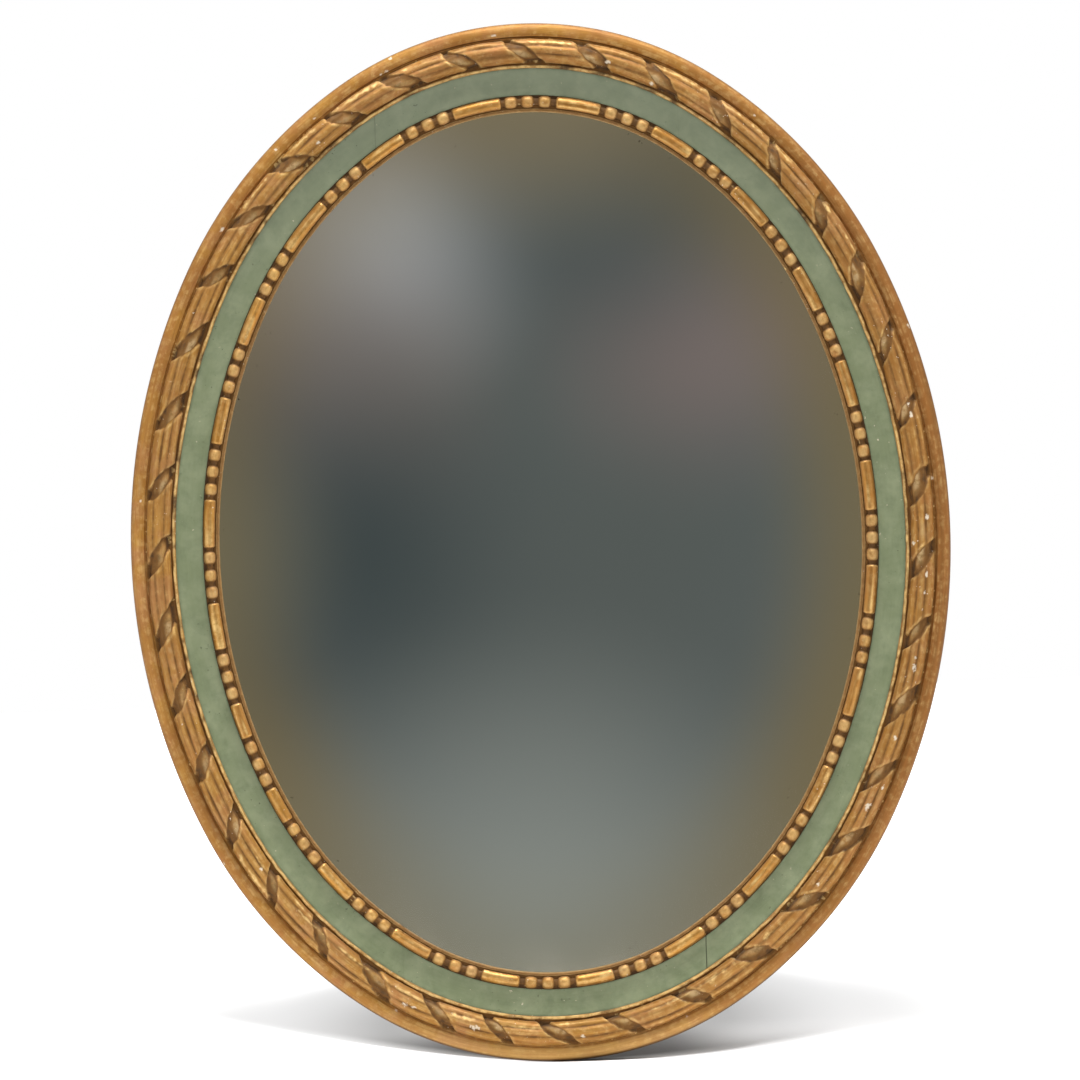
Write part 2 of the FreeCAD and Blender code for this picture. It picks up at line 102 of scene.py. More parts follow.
class OvalPlan(PropertyGroup):
    """Lines and levels of the frame's section."""
    end_angle: turn("End arc", 34.0, "Half angle of the arcs at the top and bottom")
    side_angle: turn("Side arc", 64.0, "Normal angle at which the side arcs start")
    rim_width: length("Rim", 10.8 * MM, "Width of the plain rim")
    reed_width: length("Reeds", 19.4 * MM, "Width of the ribbon-and-reed band")
    fillet_width: length("Fillet", 2.8 * MM, "Width of the thin gilt fillet")
    frieze_width: length("Frieze", 19.6 * MM, "Width of the painted frieze")
    bead_width: length("Beads", 9.7 * MM, "Width of the bead-and-reel band")
    lip_width: length("Lip", 2.4 * MM, "Width of the sight lip")
    bumper_thickness: length("Bumper", 7.0 * MM, "Gap between the wall and the core's back")
    core_setback: length("Core setback", 1.5 * MM, "How far the core lies inside the outer edge")
    ledge_level: length("Ledge", 14.0 * MM, "Level on which the reeded moulding sits")
    rebate_level: length("Rebate", 16.0 * MM, "Level of the rebate over the glass")
    frieze_inner: length("Frieze inner level", 20.6 * MM, "Level of the frieze at the beads")
    frieze_outer: length("Frieze outer level", 23.0 * MM, "Level of the frieze at the fillet")
    rebate_seat: length("Rebate seat", 5.1 * MM, "Width of the rebate beyond the beads")


class ReededSizes(PropertyGroup):
    """Sizes of the ribbon-and-reed moulding."""
    rim_rise: length("Rim rise", 3.0 * MM, "Height of the rim's crown over the reed line")
    rim_crown: length("Rim crown", 6.0 * MM, "How far in the rim's crown lies")
    rim_side: length("Rim side", 6.5 * MM, "Height of the rim's upright side")
    crest_radius: length("Crest radius", 9.7 * MM, "Radius over the reeds' crests")
    valley_radius: length("Valley radius", 8.35 * MM, "Radius in the valleys between reeds")
    ribbon_radius: length("Ribbon radius", 7.8 * MM, "Radius at the edges of a ribbon")
    ribbon_swell: length("Ribbon swell", 0.9 * MM, "Height of a ribbon's middle over its edges")
    ribbon_lean: length("Ribbon lean", 0.5 * MM, "How much lower a ribbon's right side lies")
    scoop_depth: length("Scoop depth", 1.1 * MM, "Depth of the cuts at both ends of a ribbon")
    ribbon_gap: length("Ribbon gap", 9.6 * MM, "Gap between the reeds at the ends of a ribbon")
    ribbon_slant: turn("Ribbon slant", 42.0, "Slant of the ribbons across the moulding")
    row: length("Row", 0.82 * MM, "Distance between two rows of the mesh")


class BeadedSizes(PropertyGroup):
    """Sizes of the bead-and-reel moulding."""
    bead_radius: length("Bead radius", 4.6 * MM, "Radius of a bead")
    bead_half: length("Bead half", 5.4 * MM, "Half the length of a bead")
    bead_pitch: length("Bead pitch", 12.5 * MM, "Distance between two beads")
    reel_radius: length("Reel radius", 4.25 * MM, "Radius of a reel")
    reel_gap: length("Reel gap", 1.9 * MM, "Gap between a reel and the beads at its ends")
    neck_radius: length("Neck radius", 2.4 * MM, "Radius of the neck between two beads")
    bead_seat: length("Bead seat", 3.9 * MM, "Height of the beads' seat over the rebate")
    bead_rise: length("Bead rise", 1.0 * MM, "Height of the bead centres over their seat")
    lip_rise: length("Lip rise", 4.6 * MM, "Height of the sight lip over the rebate")


class MirrorFinish(PropertyGroup):
    """Colours of the finishes, as linear light."""
    leaf: tone("Leaf", (0.485, 0.24, 0.048), "Toned gold of the rim and the reeds")
    # Leaf shade is also painted shade on the right side and at the top
    leaf_dark: tone("Leaf shade", (0.31, 0.125, 0.029), "Red-brown toning over the leaf")
    leaf_ochre: tone("Leaf ochre", (0.47, 0.24, 0.035), "Yellow patches of the leaf")
    leaf_orange: tone("Leaf orange", (0.62, 0.27, 0.025), "Burnished leaf of the beads and reels")
    leaf_pink: tone("Leaf pink", (0.50, 0.24, 0.095), "Pinkish patches where the leaf is thin")
    # Valley brown also paints shade down the reeds and the beads
    valley: tone("Valley", (0.165, 0.073, 0.017), "Brown of the shallow hollows")
    # Rubbed leaf also paints highlights and the light on the rim's bottom
    leaf_rubbed_and_highlight: tone("Rubbed leaf", (0.88, 0.62, 0.25), "Bright leaf on rubbed edges")
    # Grime also paints shade in the hollows and under the rim
    grime_and_shade: tone("Grime", (0.075, 0.037, 0.014), "Old dirt in the hollows")
    bole: tone("Bole", (0.36, 0.12, 0.04), "Red clay that shows through the leaf")
    gesso: tone("Gesso", (0.74, 0.63, 0.48), "White ground where the leaf has chipped")
    ribbon_shade: tone("Ribbon shade", (0.175, 0.093, 0.028), "Olive brown of the ribbons")
    ribbon_tone: tone("Ribbon dust", (0.42, 0.28, 0.135), "Dusty tan on the ribbons")
    gilt_dust: tone("Gilt dust", (0.50, 0.40, 0.26), "Dust on the gilding")
    frieze: tone("Frieze", (0.172, 0.208, 0.105), "Sage green of the frieze")
    frieze_cool: tone("Frieze top", (0.235, 0.265, 0.20), "Cooler green towards the top")
    frieze_light: tone("Frieze wear", (0.28, 0.315, 0.185), "Rubbed paint of the frieze")
    # Frieze shade also paints shade along the fillet and the beads
    frieze_dark: tone("Frieze shade", (0.09, 0.12, 0.055), "Dirt and thick paint of the frieze")
    frieze_speck: tone("Frieze specks", (0.035, 0.045, 0.02), "Dark specks in the green paint")
    joint_line: tone("Joint line", (0.05, 0.06, 0.03), "Hairline where a joint stands open")
    side_wash: tone("Side wash", (0.42, 0.27, 0.10), "Ochre wash on the frame's side")
    side_dust: tone("Side dust", (0.50, 0.45, 0.36), "Dust on the frame's side")
    timber: tone("Timber", (0.30, 0.17, 0.075), "Aged timber of the core")
    timber_dark: tone("Timber shade", (0.12, 0.06, 0.025), "Dark grain and dirt of the timber")
    timber_speck: tone("Timber specks", (0.03, 0.018, 0.01), "Dark specks in all the timber")
    timber_dust: tone("Timber dust", (0.42, 0.38, 0.32), "Dust on all the timber")
    board: tone("Board", (0.36, 0.225, 0.11), "Aged softwood of the back boards")
    board_dark: tone("Board grain", (0.17, 0.09, 0.04), "Dark grain of the back boards")
    board_pale: tone("Pale board", (0.43, 0.285, 0.15), "Softwood of the middle board")
    silver: tone("Silvering", (0.90, 0.91, 0.89), "Silvered glass")
    silver_aged: tone("Aged silvering", (0.84, 0.77, 0.62), "Silvering that has aged at the edge")
    foxing: tone("Foxing", (0.20, 0.15, 0.10), "Specks in the silvering near its edge")
    backing: tone("Backing paint", (0.10, 0.075, 0.055), "Paint on the back of the silvering")
    brass: tone("Brass", (0.25, 0.155, 0.055), "Brass of the turn buttons")
    steel: tone("Steel", (0.27, 0.26, 0.25), "Steel of the screws")
    hanger: tone("Hanger", (0.24, 0.225, 0.195), "Plated steel of the hangers")
    tarnish: tone("Tarnish", (0.14, 0.09, 0.05), "Tarnish on all the metal")
    metal_dust: tone("Metal dust", (0.40, 0.36, 0.30), "Dust on all the metal")
    rubber: tone("Rubber", (0.045, 0.043, 0.040), "Rubber of the wall bumpers")
    rubber_grey: tone("Rubber bloom", (0.09, 0.085, 0.08), "Grey bloom on the rubber")
    rubber_edge: tone("Rubber edge", (0.16, 0.15, 0.14), "Worn edges of the rubber")
    rubber_dust: tone("Rubber dust", (0.34, 0.31, 0.27), "Dust on the rubber")


class StageSetting(PropertyGroup):
    """Camera, lights and floor."""
    camera_distance: length("Camera distance", 6.0, "Distance of the camera from the wall plane")
    view_width: length("View width", 788.9 * MM, "Width seen at the frame's front")
    lean: turn("Lean", 1.94, "How far the frame leans to the left in the view")
    aim_right: length("Aim right", -0.54 * MM, "Camera's place right of the oval's middle")
    aim_up: length("Aim up", 1.64 * MM, "Camera's place above the oval's middle")
    room_distance: length("Room distance", 0.8, "Distance of the dim room card from the wall")
    key_strength: FloatProperty(name="Key light", description="Power of the soft lamp above",
                                default=60.0, unit="POWER")
    sky_low: share("Low sky", 0.78, "Strength of the even light near the horizon")
    sky_high: share("High sky", 0.61, "Strength of the even light from above")
    floor: tone("Floor", (0.9, 0.9, 0.9), "Pale floor")
    painted_floor_shadow: tone("Floor foot", (0.11, 0.107, 0.104), "Floor right behind the frame's foot")
    room_middle: tone("Room middle", (0.108, 0.122, 0.118), "Dim room in the middle of the glass")
    room_edge: tone("Room edge", (0.19, 0.165, 0.105), "Dim room at the edge of the glass")


def setting(name):
    """One of the groups of sizes and colours."""
    return getattr(bpy.context.scene.oval_mirror, name)


# Plan of the oval

class Oval:
    """Eight tangent arcs. Angles are of the outward normal, clockwise from the top."""

    def __init__(self):
        low, high = cad_box
        plan = setting("plan")
        half_x, half_z = (high.x - low.x) / 2, (high.z - low.z) / 2
        end, side = plan.end_angle, plan.side_angle
        middle = (end + side) / 2
        spread = math.hypot(half_x * math.sin(middle), half_z * math.cos(middle))
        shoulder = (half_x * half_z) ** 2 / spread ** 3
        across = half_x - shoulder * (math.sin(side) - math.sin(end))
        upward = half_z - shoulder * (math.cos(end) - math.cos(side))
        slope = (1 - math.sin(side)) / math.cos(side)
        end_radius = (across - upward * slope) / (math.sin(end) - (1 - math.cos(end)) * slope)
        side_radius = (upward - end_radius * (1 - math.cos(end))) / math.cos(side)
        end_z = half_z - end_radius
        shoulder_x = (end_radius - shoulder) * math.sin(end)
        shoulder_z = end_z + (end_radius - shoulder) * math.cos(end)
        side_x = half_x - side_radius
        self.radii = np.array([end_radius, shoulder, side_radius, shoulder] * 2)
        self.x = np.array([0, shoulder_x, side_x, shoulder_x, 0, -shoulder_x, -side_x, -shoulder_x])
        self.z = np.array([end_z, shoulder_z, 0, -shoulder_z, -end_z, -shoulder_z, 0, shoulder_z])
        self.first = -end
        half = math.pi
        self.stops = np.array([end, side, half - side, half - end,
                               half + end, half + side, 2 * half - side, 2 * half - end])
        self.starts = np.concatenate([[self.first], self.stops[:-1]])
        lengths = self.radii * (self.stops - self.starts)
        self.before = np.concatenate([[0], np.cumsum(lengths)[:-1]]) - end_radius * end
        self.total = lengths.sum()
        self.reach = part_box("frame_core_top")[1].x

    def arc(self, angle):
        """Whole turns, and the arc that holds each angle."""
        turns = np.floor((angle - self.first) / (2 * math.pi))
        local = angle - turns * 2 * math.pi
        return turns, local, np.clip(np.searchsorted(self.stops, local), 0, 7)

    def along(self, angle, inward):
        """Distance clockwise from the top along the line that lies this far in."""
        turns, local, arc = self.arc(angle)
        outer = turns * self.total + self.before[arc] + self.radii[arc] * (local - self.starts[arc])
        return outer - inward * angle

    def perimeter(self, inward):
        """Length all round of the line that lies this far in."""
        return self.total - 2 * math.pi * inward

    def angle(self, distance, inward):
        """Normal angle at a distance from the top along the line that lies this far in."""
        knots = np.concatenate([self.starts + t * 2 * math.pi for t in (-1, 0, 1)])
        knots = np.append(knots, self.stops[-1] + 2 * math.pi)
        return np.interp(distance, self.along(knots + 1e-9, inward), knots)

    def plan(self, angle, inward):
        """X and Z of points at these angles and this far in."""
        _, local, arc = self.arc(angle)
        radius = self.radii[arc] - inward
        return self.x[arc] + radius * np.sin(local), self.z[arc] + radius * np.cos(local)

    def joint(self, inward):
        """Normal angle at which each line crosses the upright joint at upper right."""
        low = np.zeros_like(inward)
        high = np.full_like(inward, math.pi / 2)
        for _ in range(40):
            middle = (low + high) / 2
            beyond = self.plan(middle, inward)[0] > self.reach
            high = np.where(beyond, middle, high)
            low = np.where(beyond, low, middle)
        return (low + high) / 2

    def ends(self, quarter, inward):
        """Normal angles at the two ends of a quarter, for each line."""
        joint = self.joint(inward)
        if quarter == "top":
            return -joint, joint
        if quarter == "right":
            return joint, math.pi - joint
        if quarter == "bottom":
            return math.pi - joint, math.pi + joint
        return math.pi + joint, 2 * math.pi - joint


class Carver:
    """Seeded unevenness of hand work, the same on each run and closed all round the oval."""

    def __init__(self, seed, round_length):
        self.random = np.random.default_rng(seed)
        self.round_length = round_length

    def waves(self, along, across, cell_along, cell_across):
        """Smooth random field from minus one to one, with cells of these sizes."""
        count = max(4, int(round(self.round_length / cell_along)))
        u = (along / self.round_length) * count
        v = across / cell_across
        rows = int(np.ceil(v.max() - v.min())) + 3
        table = self.random.uniform(-1, 1, (count, rows))
        u0, v0 = np.floor(u), np.floor(v)
        fu, fv = u - u0, v - v0
        fu, fv = fu * fu * (3 - 2 * fu), fv * fv * (3 - 2 * fv)
        i = u0.astype(int) % count
        k = (v0 - np.floor(v.min())).astype(int)
        j = (i + 1) % count
        low = table[i, k] * (1 - fu) + table[j, k] * fu
        high = table[i, k + 1] * (1 - fu) + table[j, k + 1] * fu
        return low * (1 - fv) + high * fv


def smooth_step(value, low, high):
    """Nought below low, one above high, and smooth between."""
    t = np.clip((value - low) / (high - low), 0, 1)
    return t * t * (3 - 2 * t)


def softened(field, rows, columns):
    """Running mean over a window of rows and columns."""
    for axis, reach in ((0, rows), (1, columns)):
        pad = [(0, 0), (0, 0)]
        pad[axis] = (reach + 1, reach)
        total = np.cumsum(np.pad(field, pad, mode="edge"), axis=axis)
        count = 2 * reach + 1
        upper = np.take(total, range(count, total.shape[axis]), axis=axis)
        lower = np.take(total, range(0, total.shape[axis] - count), axis=axis)
        field = (upper - lower) / count
    return field


def run_of(points, count):
    """Points set evenly along a line of (inward, level) corners."""
    points = np.array(points, float)
    steps = np.hypot(*np.diff(points, axis=0).T)
    at = np.concatenate([[0], np.cumsum(steps)])
    wanted = np.linspace(0, at[-1], count)
    return np.stack([np.interp(wanted, at, points[:, k]) for k in (0, 1)], axis=1)


def arc_of(first, middle, last, count):
    """Points along the arc through three (inward, level) points."""
    a, b, c = (complex(*p) for p in (first, middle, last))
    w = (c - a) / (b - a)
    centre = a - (a - b) * (w - abs(w) ** 2) / (2j * w.imag)
    radius = abs(a - centre)
    start = np.angle(a - centre)
    sweep = np.angle((c - centre) / (a - centre))
    through = np.angle((b - centre) / (a - centre))
    if sweep * through < 0 or abs(through) > abs(sweep):
        sweep -= math.copysign(2 * math.pi, sweep)
    turn_by = start + np.linspace(0, 1, count) * sweep
    return np.stack([centre.real + radius * np.cos(turn_by),
                     centre.imag + radius * np.sin(turn_by)], axis=1)


# Swept lengths of moulding

def swept_length(name, quarter, oval, section, distances, materials):
    """Mesh of one quarter: rows across the moulding, carved by the section.

    The end rows lie on the frame's upright joints, and the rows within the section's blend of an
    end turn towards it.
    """
    centre = section.centre
    start, stop = (float(end[0]) for end in oval.ends(quarter, np.array([centre])))
    low, high = oval.along(np.array([start, stop]), centre)
    near_low = np.clip(1 - (distances - low) / section.blend, 0, 1)[:, None]
    near_high = np.clip(1 - (high - distances) / section.blend, 0, 1)[:, None]
    base = oval.angle(distances, centre)[:, None]
    angles = np.repeat(base, len(section.slots), axis=1)
    for _ in range(4):
        along = oval.along(angles, centre)
        inward, level, values = section(along)
        starts, stops = oval.ends(quarter, inward)
        angles = base + near_low * (starts - start) + near_high * (stops - stop)
    x, z = oval.plan(angles, inward)
    for row in (0, -1):
        x[row] = math.copysign(oval.reach, x[row].mean())
    points = np.stack([x, -(setting("plan").bumper_thickness + level), z], axis=2)

    rows, columns = x.shape
    index = np.arange(rows * columns).reshape(rows, columns)
    beside = np.roll(index, -1, axis=1)
    quads = np.stack([index[:-1], beside[:-1], beside[1:], index[1:]], axis=2).reshape(-1, 4)
    flat = points.reshape(-1, 3)
    corners = flat[quads]
    volume = np.einsum("ij,ij->i", corners[:, 0], np.cross(corners[:, 1], corners[:, 2])).sum()
    faces = quads.tolist() + [index[0].tolist(), index[-1][::-1].tolist()]
    if volume < 0:
        faces = [face[::-1] for face in faces]
    mesh = bpy.data.meshes.new(name)
    mesh.from_pydata(flat.tolist(), [], faces)
    for material in materials:
        mesh.materials.append(material)
    face_slots = np.tile(section.slots, rows - 1).tolist() + [section.slots[-1]] * 2
    mesh.polygons.foreach_set("material_index", face_slots)
    for key, field in values.items():
        data = mesh.attributes.new(key, "FLOAT", "POINT").data
        data.foreach_set("value", np.broadcast_to(field, x.shape).ravel().astype(np.float32))
    run = np.stack([along, inward, level], axis=2)
    data = mesh.attributes.new("run", "FLOAT_VECTOR", "POINT").data
    data.foreach_set("vector", run.ravel().astype(np.float32))
    mesh.shade_smooth()
    mesh.set_sharp_from_angle(angle=math.radians(62))
    mesh.update()
    piece = bpy.data.objects.new(name, mesh)
    bpy.context.scene.collection.objects.link(piece)
    return piece


def span_of(oval, quarter, centre):
    """Distances of a quarter's two ends along its middle line."""
    ends = oval.ends(quarter, np.array([centre]))
    return tuple(float(oval.along(end, centre)[0]) for end in ends)


# Chips down to the gesso: (distance along the reeds, inward, length, width), in millimetres
CHIPS = (
    (62.5, 22.4, 2.8, 2.2), (98.5, 27, 2, 1.6), (155.5, 27.5, 1.5, 1.5), (173.5, 6.5, 1.5, 1.2),
    (358, 0.6, 2.6, 2), (411, 19, 2, 2), (419, 18.5, 4, 2), (467.5, 10.8, 2, 1.5),
    (495, 17.5, 3, 2), (514, 27.5, 2.5, 2), (537, 17.5, 4, 2), (550, 18.5, 1.5, 1.5),
    (562, 19, 1.6, 1.4), (598, 19, 2, 1.6), (605, 19, 5, 2.5), (658, 19.5, 2.5, 2),
    (695, 15.5, 2.5, 1.6), (712, 20, 6, 3), (780, 22, 2.5, 2), (914.5, 9.5, 1.5, 1.3),
    (989, 17.5, 2.2, 2), (1067, 19, 6, 3), (1115, 18.5, 2.5, 1.8), (1121.5, 17, 2.5, 2),
    (1125.2, 9.8, 1.8, 1.5), (1266.7, 21.9, 2, 2), (1284, 0.8, 3, 1.6), (1386.8, 16.1, 1.2, 1.2),
    (1549.9, 6.9, 1.3, 1.3), (1753.2, 8.6, 3, 1.8), (1820.7, 4.6, 2, 1.2), (1845.6, 22.8, 2.5, 2.2),
    (1855.2, 7.5, 1.5, 1.2), (1911.5, 9.4, 1.5, 1.3), (1916, 9.4, 2.5, 1.6), (1921.8, 1.8, 2, 1.6),
    (1994.5, 7.5, 3, 1.2),
)

# Places where the leaf is worn to a dull grey tan, written in the same way
WORN = (
    (1282, 8, 62, 2.6), (1560, 5.5, 14, 3.6), (505, 20, 14, 7), (1190, 17, 16, 6),
    (232, 18, 22, 5), (700, 24, 12, 4), (900, 21, 14, 5), (1440, 22, 18, 5), (1660, 16, 16, 6),
)

# Runs of reed painted bright as highlights, written in the same way
PAINTED_HIGHLIGHTS = (
    (20, 14, 45, 1.6), (118, 13.6, 42, 2.6), (170, 13.5, 38, 2.2), (207, 13.7, 24, 2.6),
    (258, 14.5, 18, 2.4), (288, 14.5, 32, 1.6), (832, 24.5, 20, 3), (880, 25, 32, 3.4),
    (920, 24.5, 30, 1.5), (1000, 27.4, 22, 1.6), (1030, 24.5, 20, 3), (1080, 24, 16, 3.4),
    (1120, 25.5, 26, 2.4), (1170, 24.8, 26, 1.8), (1215, 24, 28, 1.6), (1222, 27.2, 24, 1.4),
    (1265, 14, 38, 3), (1270, 24, 22, 1.8), (1790, 13.5, 36, 1.8), (1836, 13.6, 34, 2.4),
    (1890, 13.6, 42, 2.8), (1930, 14, 12, 2),
)

# How far the carver's spacing has slipped: (share of the way round, share of the pitch)
RIBBON_SLIPS = (
    (0, -0.04), (0.1, -0.04), (0.2, 0.04), (0.475, 0.54), (0.54, 0.2),
    (0.72, 0.22), (0.85, 0.31), (0.95, 0.18), (1, -0.04),
)
BEAD_SLIPS = (
    (0, 0.02), (0.17, 0.01), (0.33, 0.11), (0.42, 0.155), (0.46, 0.14), (0.55, 0),
    (0.62, -0.04), (0.71, -0.235), (0.83, -0.18), (0.88, -0.14), (0.92, -0.02), (1, 0.02),
)
RIBBONS = 39
BEAD_GROUPS = 24


def way_from(place, along, around):
    """Signed distances from a place, the short way round the oval."""
    gap = along - place
    return gap - np.round(gap / around) * around


def spots(oval, along, inward, centre, carver, table, cell, soft):
    """How far each point lies in one of the ragged spots of a table."""
    spot = np.zeros(inward.shape)
    ragged = carver.waves(along, inward, cell, cell)
    around = oval.perimeter(centre)
    for place, depth, wide, high in table:
        gap = way_from(place * MM, along, around)
        reach = np.hypot(gap / (wide * MM), (inward - depth * MM) / (high * MM)) / 0.72
        spot = np.maximum(spot, smooth_step(1.25 - reach + 0.55 * ragged, 0.4, 0.4 + soft))
    return spot


def spaced(oval, count, slips, inward):
    """Distances of carvings set round one line, each slipped from its even place."""
    shares, slipped = zip(*slips)
    index = np.arange(count)
    slip = np.interp(index / count, shares, slipped)
    return (index + slip) * oval.perimeter(inward) / count


def columns_of(points, rows):
    """Inward places and levels of fixed points, repeated for every row."""
    return (np.broadcast_to(points[:, 0], (rows, len(points))).copy(),
            np.broadcast_to(points[:, 1], (rows, len(points))).copy())


class ReededSection:
    """Section of the rim, the three reeds with their ribbons, and the fillet.

    A call takes distances along the middle line, one column for each point of the section. It
    gives the inward places, the levels and the named values of every point.
    """
    carving_seed, ribbon_seed = 11, 39
    # Distance from an end within which the rows turn towards the upright joint
    blend = 45 * MM
    groove_rise = 0.8 * MM
    fillet_rise = 2.2 * MM
    foot_radius = 9.25 * MM
    # Radius that turns angles round the reeds into lengths
    girth = 9.0 * MM
    # Angles of the plain foot on each side of the reeds, and of one reed
    foot, lobe = math.radians(18), math.radians(48)

    def __init__(self, oval):
        plan, sizes = setting("plan"), setting("reeded")
        self.oval, self.sizes = oval, sizes
        self.reed_line = plan.rim_width
        self.fillet_line = self.reed_line + plan.reed_width
        self.frieze_line = self.fillet_line + plan.fillet_width
        self.centre = (self.reed_line + self.fillet_line) / 2
        self.around = oval.perimeter(self.centre)
        self.base, self.ledge = plan.frieze_outer, plan.ledge_level
        self.rim_top = self.base + sizes.rim_rise
        self.groove = self.base + self.groove_rise
        self.fillet_top = self.base + self.fillet_rise
        self.rim, self.fillet = self.rim_points(), self.fillet_points()
        self.turns = np.radians(np.linspace(0, 180, 57))
        self.slots = np.zeros(len(self.rim) + len(self.turns) + len(self.fillet), int)
        self.draw_ribbons()

    def rim_points(self):
        """Corners of the rim, from the ledge over the crown to the groove beside the reeds."""
        ledge, top, line = self.ledge, self.rim_top, self.reed_line
        side_top = ledge + self.sizes.rim_side
        shoulder = (2.6 * MM, top - 0.8 * MM)
        edge = (line - 1.1 * MM, top - 0.65 * MM)
        return np.concatenate([
            run_of([(0.5 * MM, ledge), (0.0, ledge + 0.5 * MM)], 2),
            run_of([(0.0, ledge + 1.6 * MM), (0.0, side_top)], 3),
            arc_of((0.0, side_top), (0.7 * MM, top - 2.7 * MM), shoulder, 7)[1:],
            arc_of(shoulder, (self.sizes.rim_crown, top), edge, 12)[1:],
            run_of([edge, (line - 0.6 * MM, top - 1.5 * MM), (line, self.groove)], 5)[1:],
        ])

    def fillet_points(self):
        """Corners of the fillet, from the groove over its top and down to the ledge."""
        start, stop, top = self.fillet_line, self.frieze_line, self.fillet_top
        return np.concatenate([
            run_of([(start - 0.3 * MM, self.groove), (start, self.groove + 0.2 * MM)], 3),
            run_of([(start + 0.3 * MM, top - 0.5 * MM), (start + 0.8 * MM, top)], 2),
            run_of([(start + 1.3 * MM, top + 0.1 * MM),
                    (stop - 0.75 * MM, top - 0.05 * MM)], 3),
            run_of([(stop - 0.3 * MM, top - 0.35 * MM), (stop, top - 0.9 * MM)], 2),
            run_of([(stop, self.base - 0.6 * MM), (stop, self.ledge + 0.4 * MM)], 2),
            run_of([(stop - 0.4 * MM, self.ledge), (stop / 2, self.ledge)], 2),
        ])

    def draw_ribbons(self):
        """Each ribbon's own place, slant, width, depth and dust, and its bundle's uneven reeds."""
        count = RIBBONS
        random = np.random.default_rng(self.ribbon_seed)
        self.places = spaced(self.oval, count, RIBBON_SLIPS, self.centre)
        self.slants = self.sizes.ribbon_slant + np.radians(random.uniform(-5, 5, count))
        self.widths = random.uniform(0.78, 1.16, count)
        self.dips = random.uniform(-0.2, 0.35, count) * MM
        self.swells = random.uniform(0.75, 1.15, count)
        self.reed_tilts = random.uniform(-0.35, 0.0, (count, 3)) * MM
        self.valleys = random.uniform(0.75, 1.4, (count, 2)) * (1.1, 0.8)
        self.sways = np.radians(random.uniform(-8, 8, (count, 2)))
        self.dusts = random.uniform(0.2, 1.0, count)
        self.starts = random.uniform(0.32, 0.6, count)
        self.tails = random.uniform(0.55, 1.0, count)

    def nearest_ribbon(self, mid, out):
        """Distance across the nearest ribbon, plain and signed, and which ribbon it is."""
        best, signed = np.full(mid.shape, 1.0), np.zeros(mid.shape)
        nearest = np.zeros(mid.shape, int)
        for k, (place, slant, width) in enumerate(zip(self.places, self.slants, self.widths)):
            gap = way_from(place, mid, self.around)
            across = (gap * math.sin(slant) + out * math.cos(slant)) / width
            closer = np.abs(across) < best
            best = np.where(closer, np.abs(across), best)
            signed = np.where(closer, across, signed)
            nearest = np.where(closer, k, nearest)
        return best, signed, nearest

    def reeds(self, band):
        """Radius over the lobes, drawn in at the ends of every bundle, and how deep the
        valleys between them are."""
        foot, lobe, phi = self.foot, self.lobe, band.phi
        bundle = np.where(band.signed > 0, band.nearest, band.nearest - 1) % RIBBONS
        v = np.clip((phi - foot) / (math.pi - 2 * foot), 0, 1)
        sway, twist = self.sways[bundle, 0], self.sways[bundle, 1]
        swayed = phi + sway * np.sin(math.pi * v) + twist * np.sin(2 * math.pi * v)
        order = np.clip(((swayed - foot) / lobe).astype(int), 0, 2)
        t = (swayed - foot - order * lobe) / lobe * 2 - 1
        inside = np.clip(1 - t ** 2, 0, 1) ** 0.72 * 0.45 + (1 + np.cos(math.pi * t)) * 0.275
        outside = ((order == 0) & (t < 0)) | ((order == 2) & (t > 0))
        drawn_in = 0.75 * MM * (1 - smooth_step(band.best, 4.5 * MM, 18 * MM))
        crest = self.sizes.crest_radius + self.reed_tilts[bundle, order]
        crest = crest - drawn_in * self.swells[bundle]
        half = (phi > math.pi / 2).astype(int)
        fall = (crest - self.sizes.valley_radius) * self.valleys[bundle, half]
        fall = np.where(outside, np.maximum(crest - self.foot_radius, 0), fall)
        reed = crest - fall * (1 - inside)
        wall = self.foot_radius * math.cos(foot) / np.maximum(band.side, 0.2)
        on_foot = (phi < foot) | (phi > math.pi - foot)
        reed = np.where(on_foot, np.minimum(wall, reed), reed)
        return reed, (1 - inside) ** 1.4 * ~outside

    def ribbon(self, band):
        """Radius of a low rounded band, cut deeper at both ends, half its gap between the blunt
        reed ends, and how far each point lies from its middle."""
        sizes, nearest = self.sizes, band.nearest
        rising = smooth_step(band.share, 0.0, 0.42)
        gap_half = self.starts[nearest] + (1.04 - self.starts[nearest]) * rising
        tail = 1 - (1 - self.tails[nearest]) * band.falling
        gap_half = sizes.ribbon_gap / 2 * gap_half * tail
        u = np.clip(band.best / gap_half, 0, 1)
        scooped = smooth_step(band.side, 0.35, 0.9)
        lifted = smooth_step(band.share, 0.36, 0.62)
        swell = sizes.ribbon_swell * (1 - u ** 2) * (0.1 + 0.9 * lifted) * (1 - 0.6 * scooped)
        radius = sizes.ribbon_radius - sizes.scoop_depth * scooped - self.dips[nearest] + swell
        lean = np.clip(band.signed / gap_half, -1, 1)
        return radius - sizes.ribbon_lean * lean * lifted, gap_half, lean

    def band(self, carver, mid):
        """Places round the reeds and across the ribbons of every point of the carved band."""
        phi = np.broadcast_to(self.turns, mid.shape)
        out = self.girth * np.cos(phi)
        best, signed, nearest = self.nearest_ribbon(mid, out)
        best = best + 0.7 * MM * carver.waves(mid, out, 7 * MM, 5 * MM)
        best = best + 0.3 * MM * carver.waves(mid, out, 2.5 * MM, 2 * MM)
        share = (1 - np.cos(phi)) / 2
        return SimpleNamespace(
            mid=mid, phi=phi, round=phi * self.girth, best=best, signed=signed, nearest=nearest,
            share=share, side=np.abs(np.cos(phi)), falling=smooth_step(share, 0.62, 1.0))

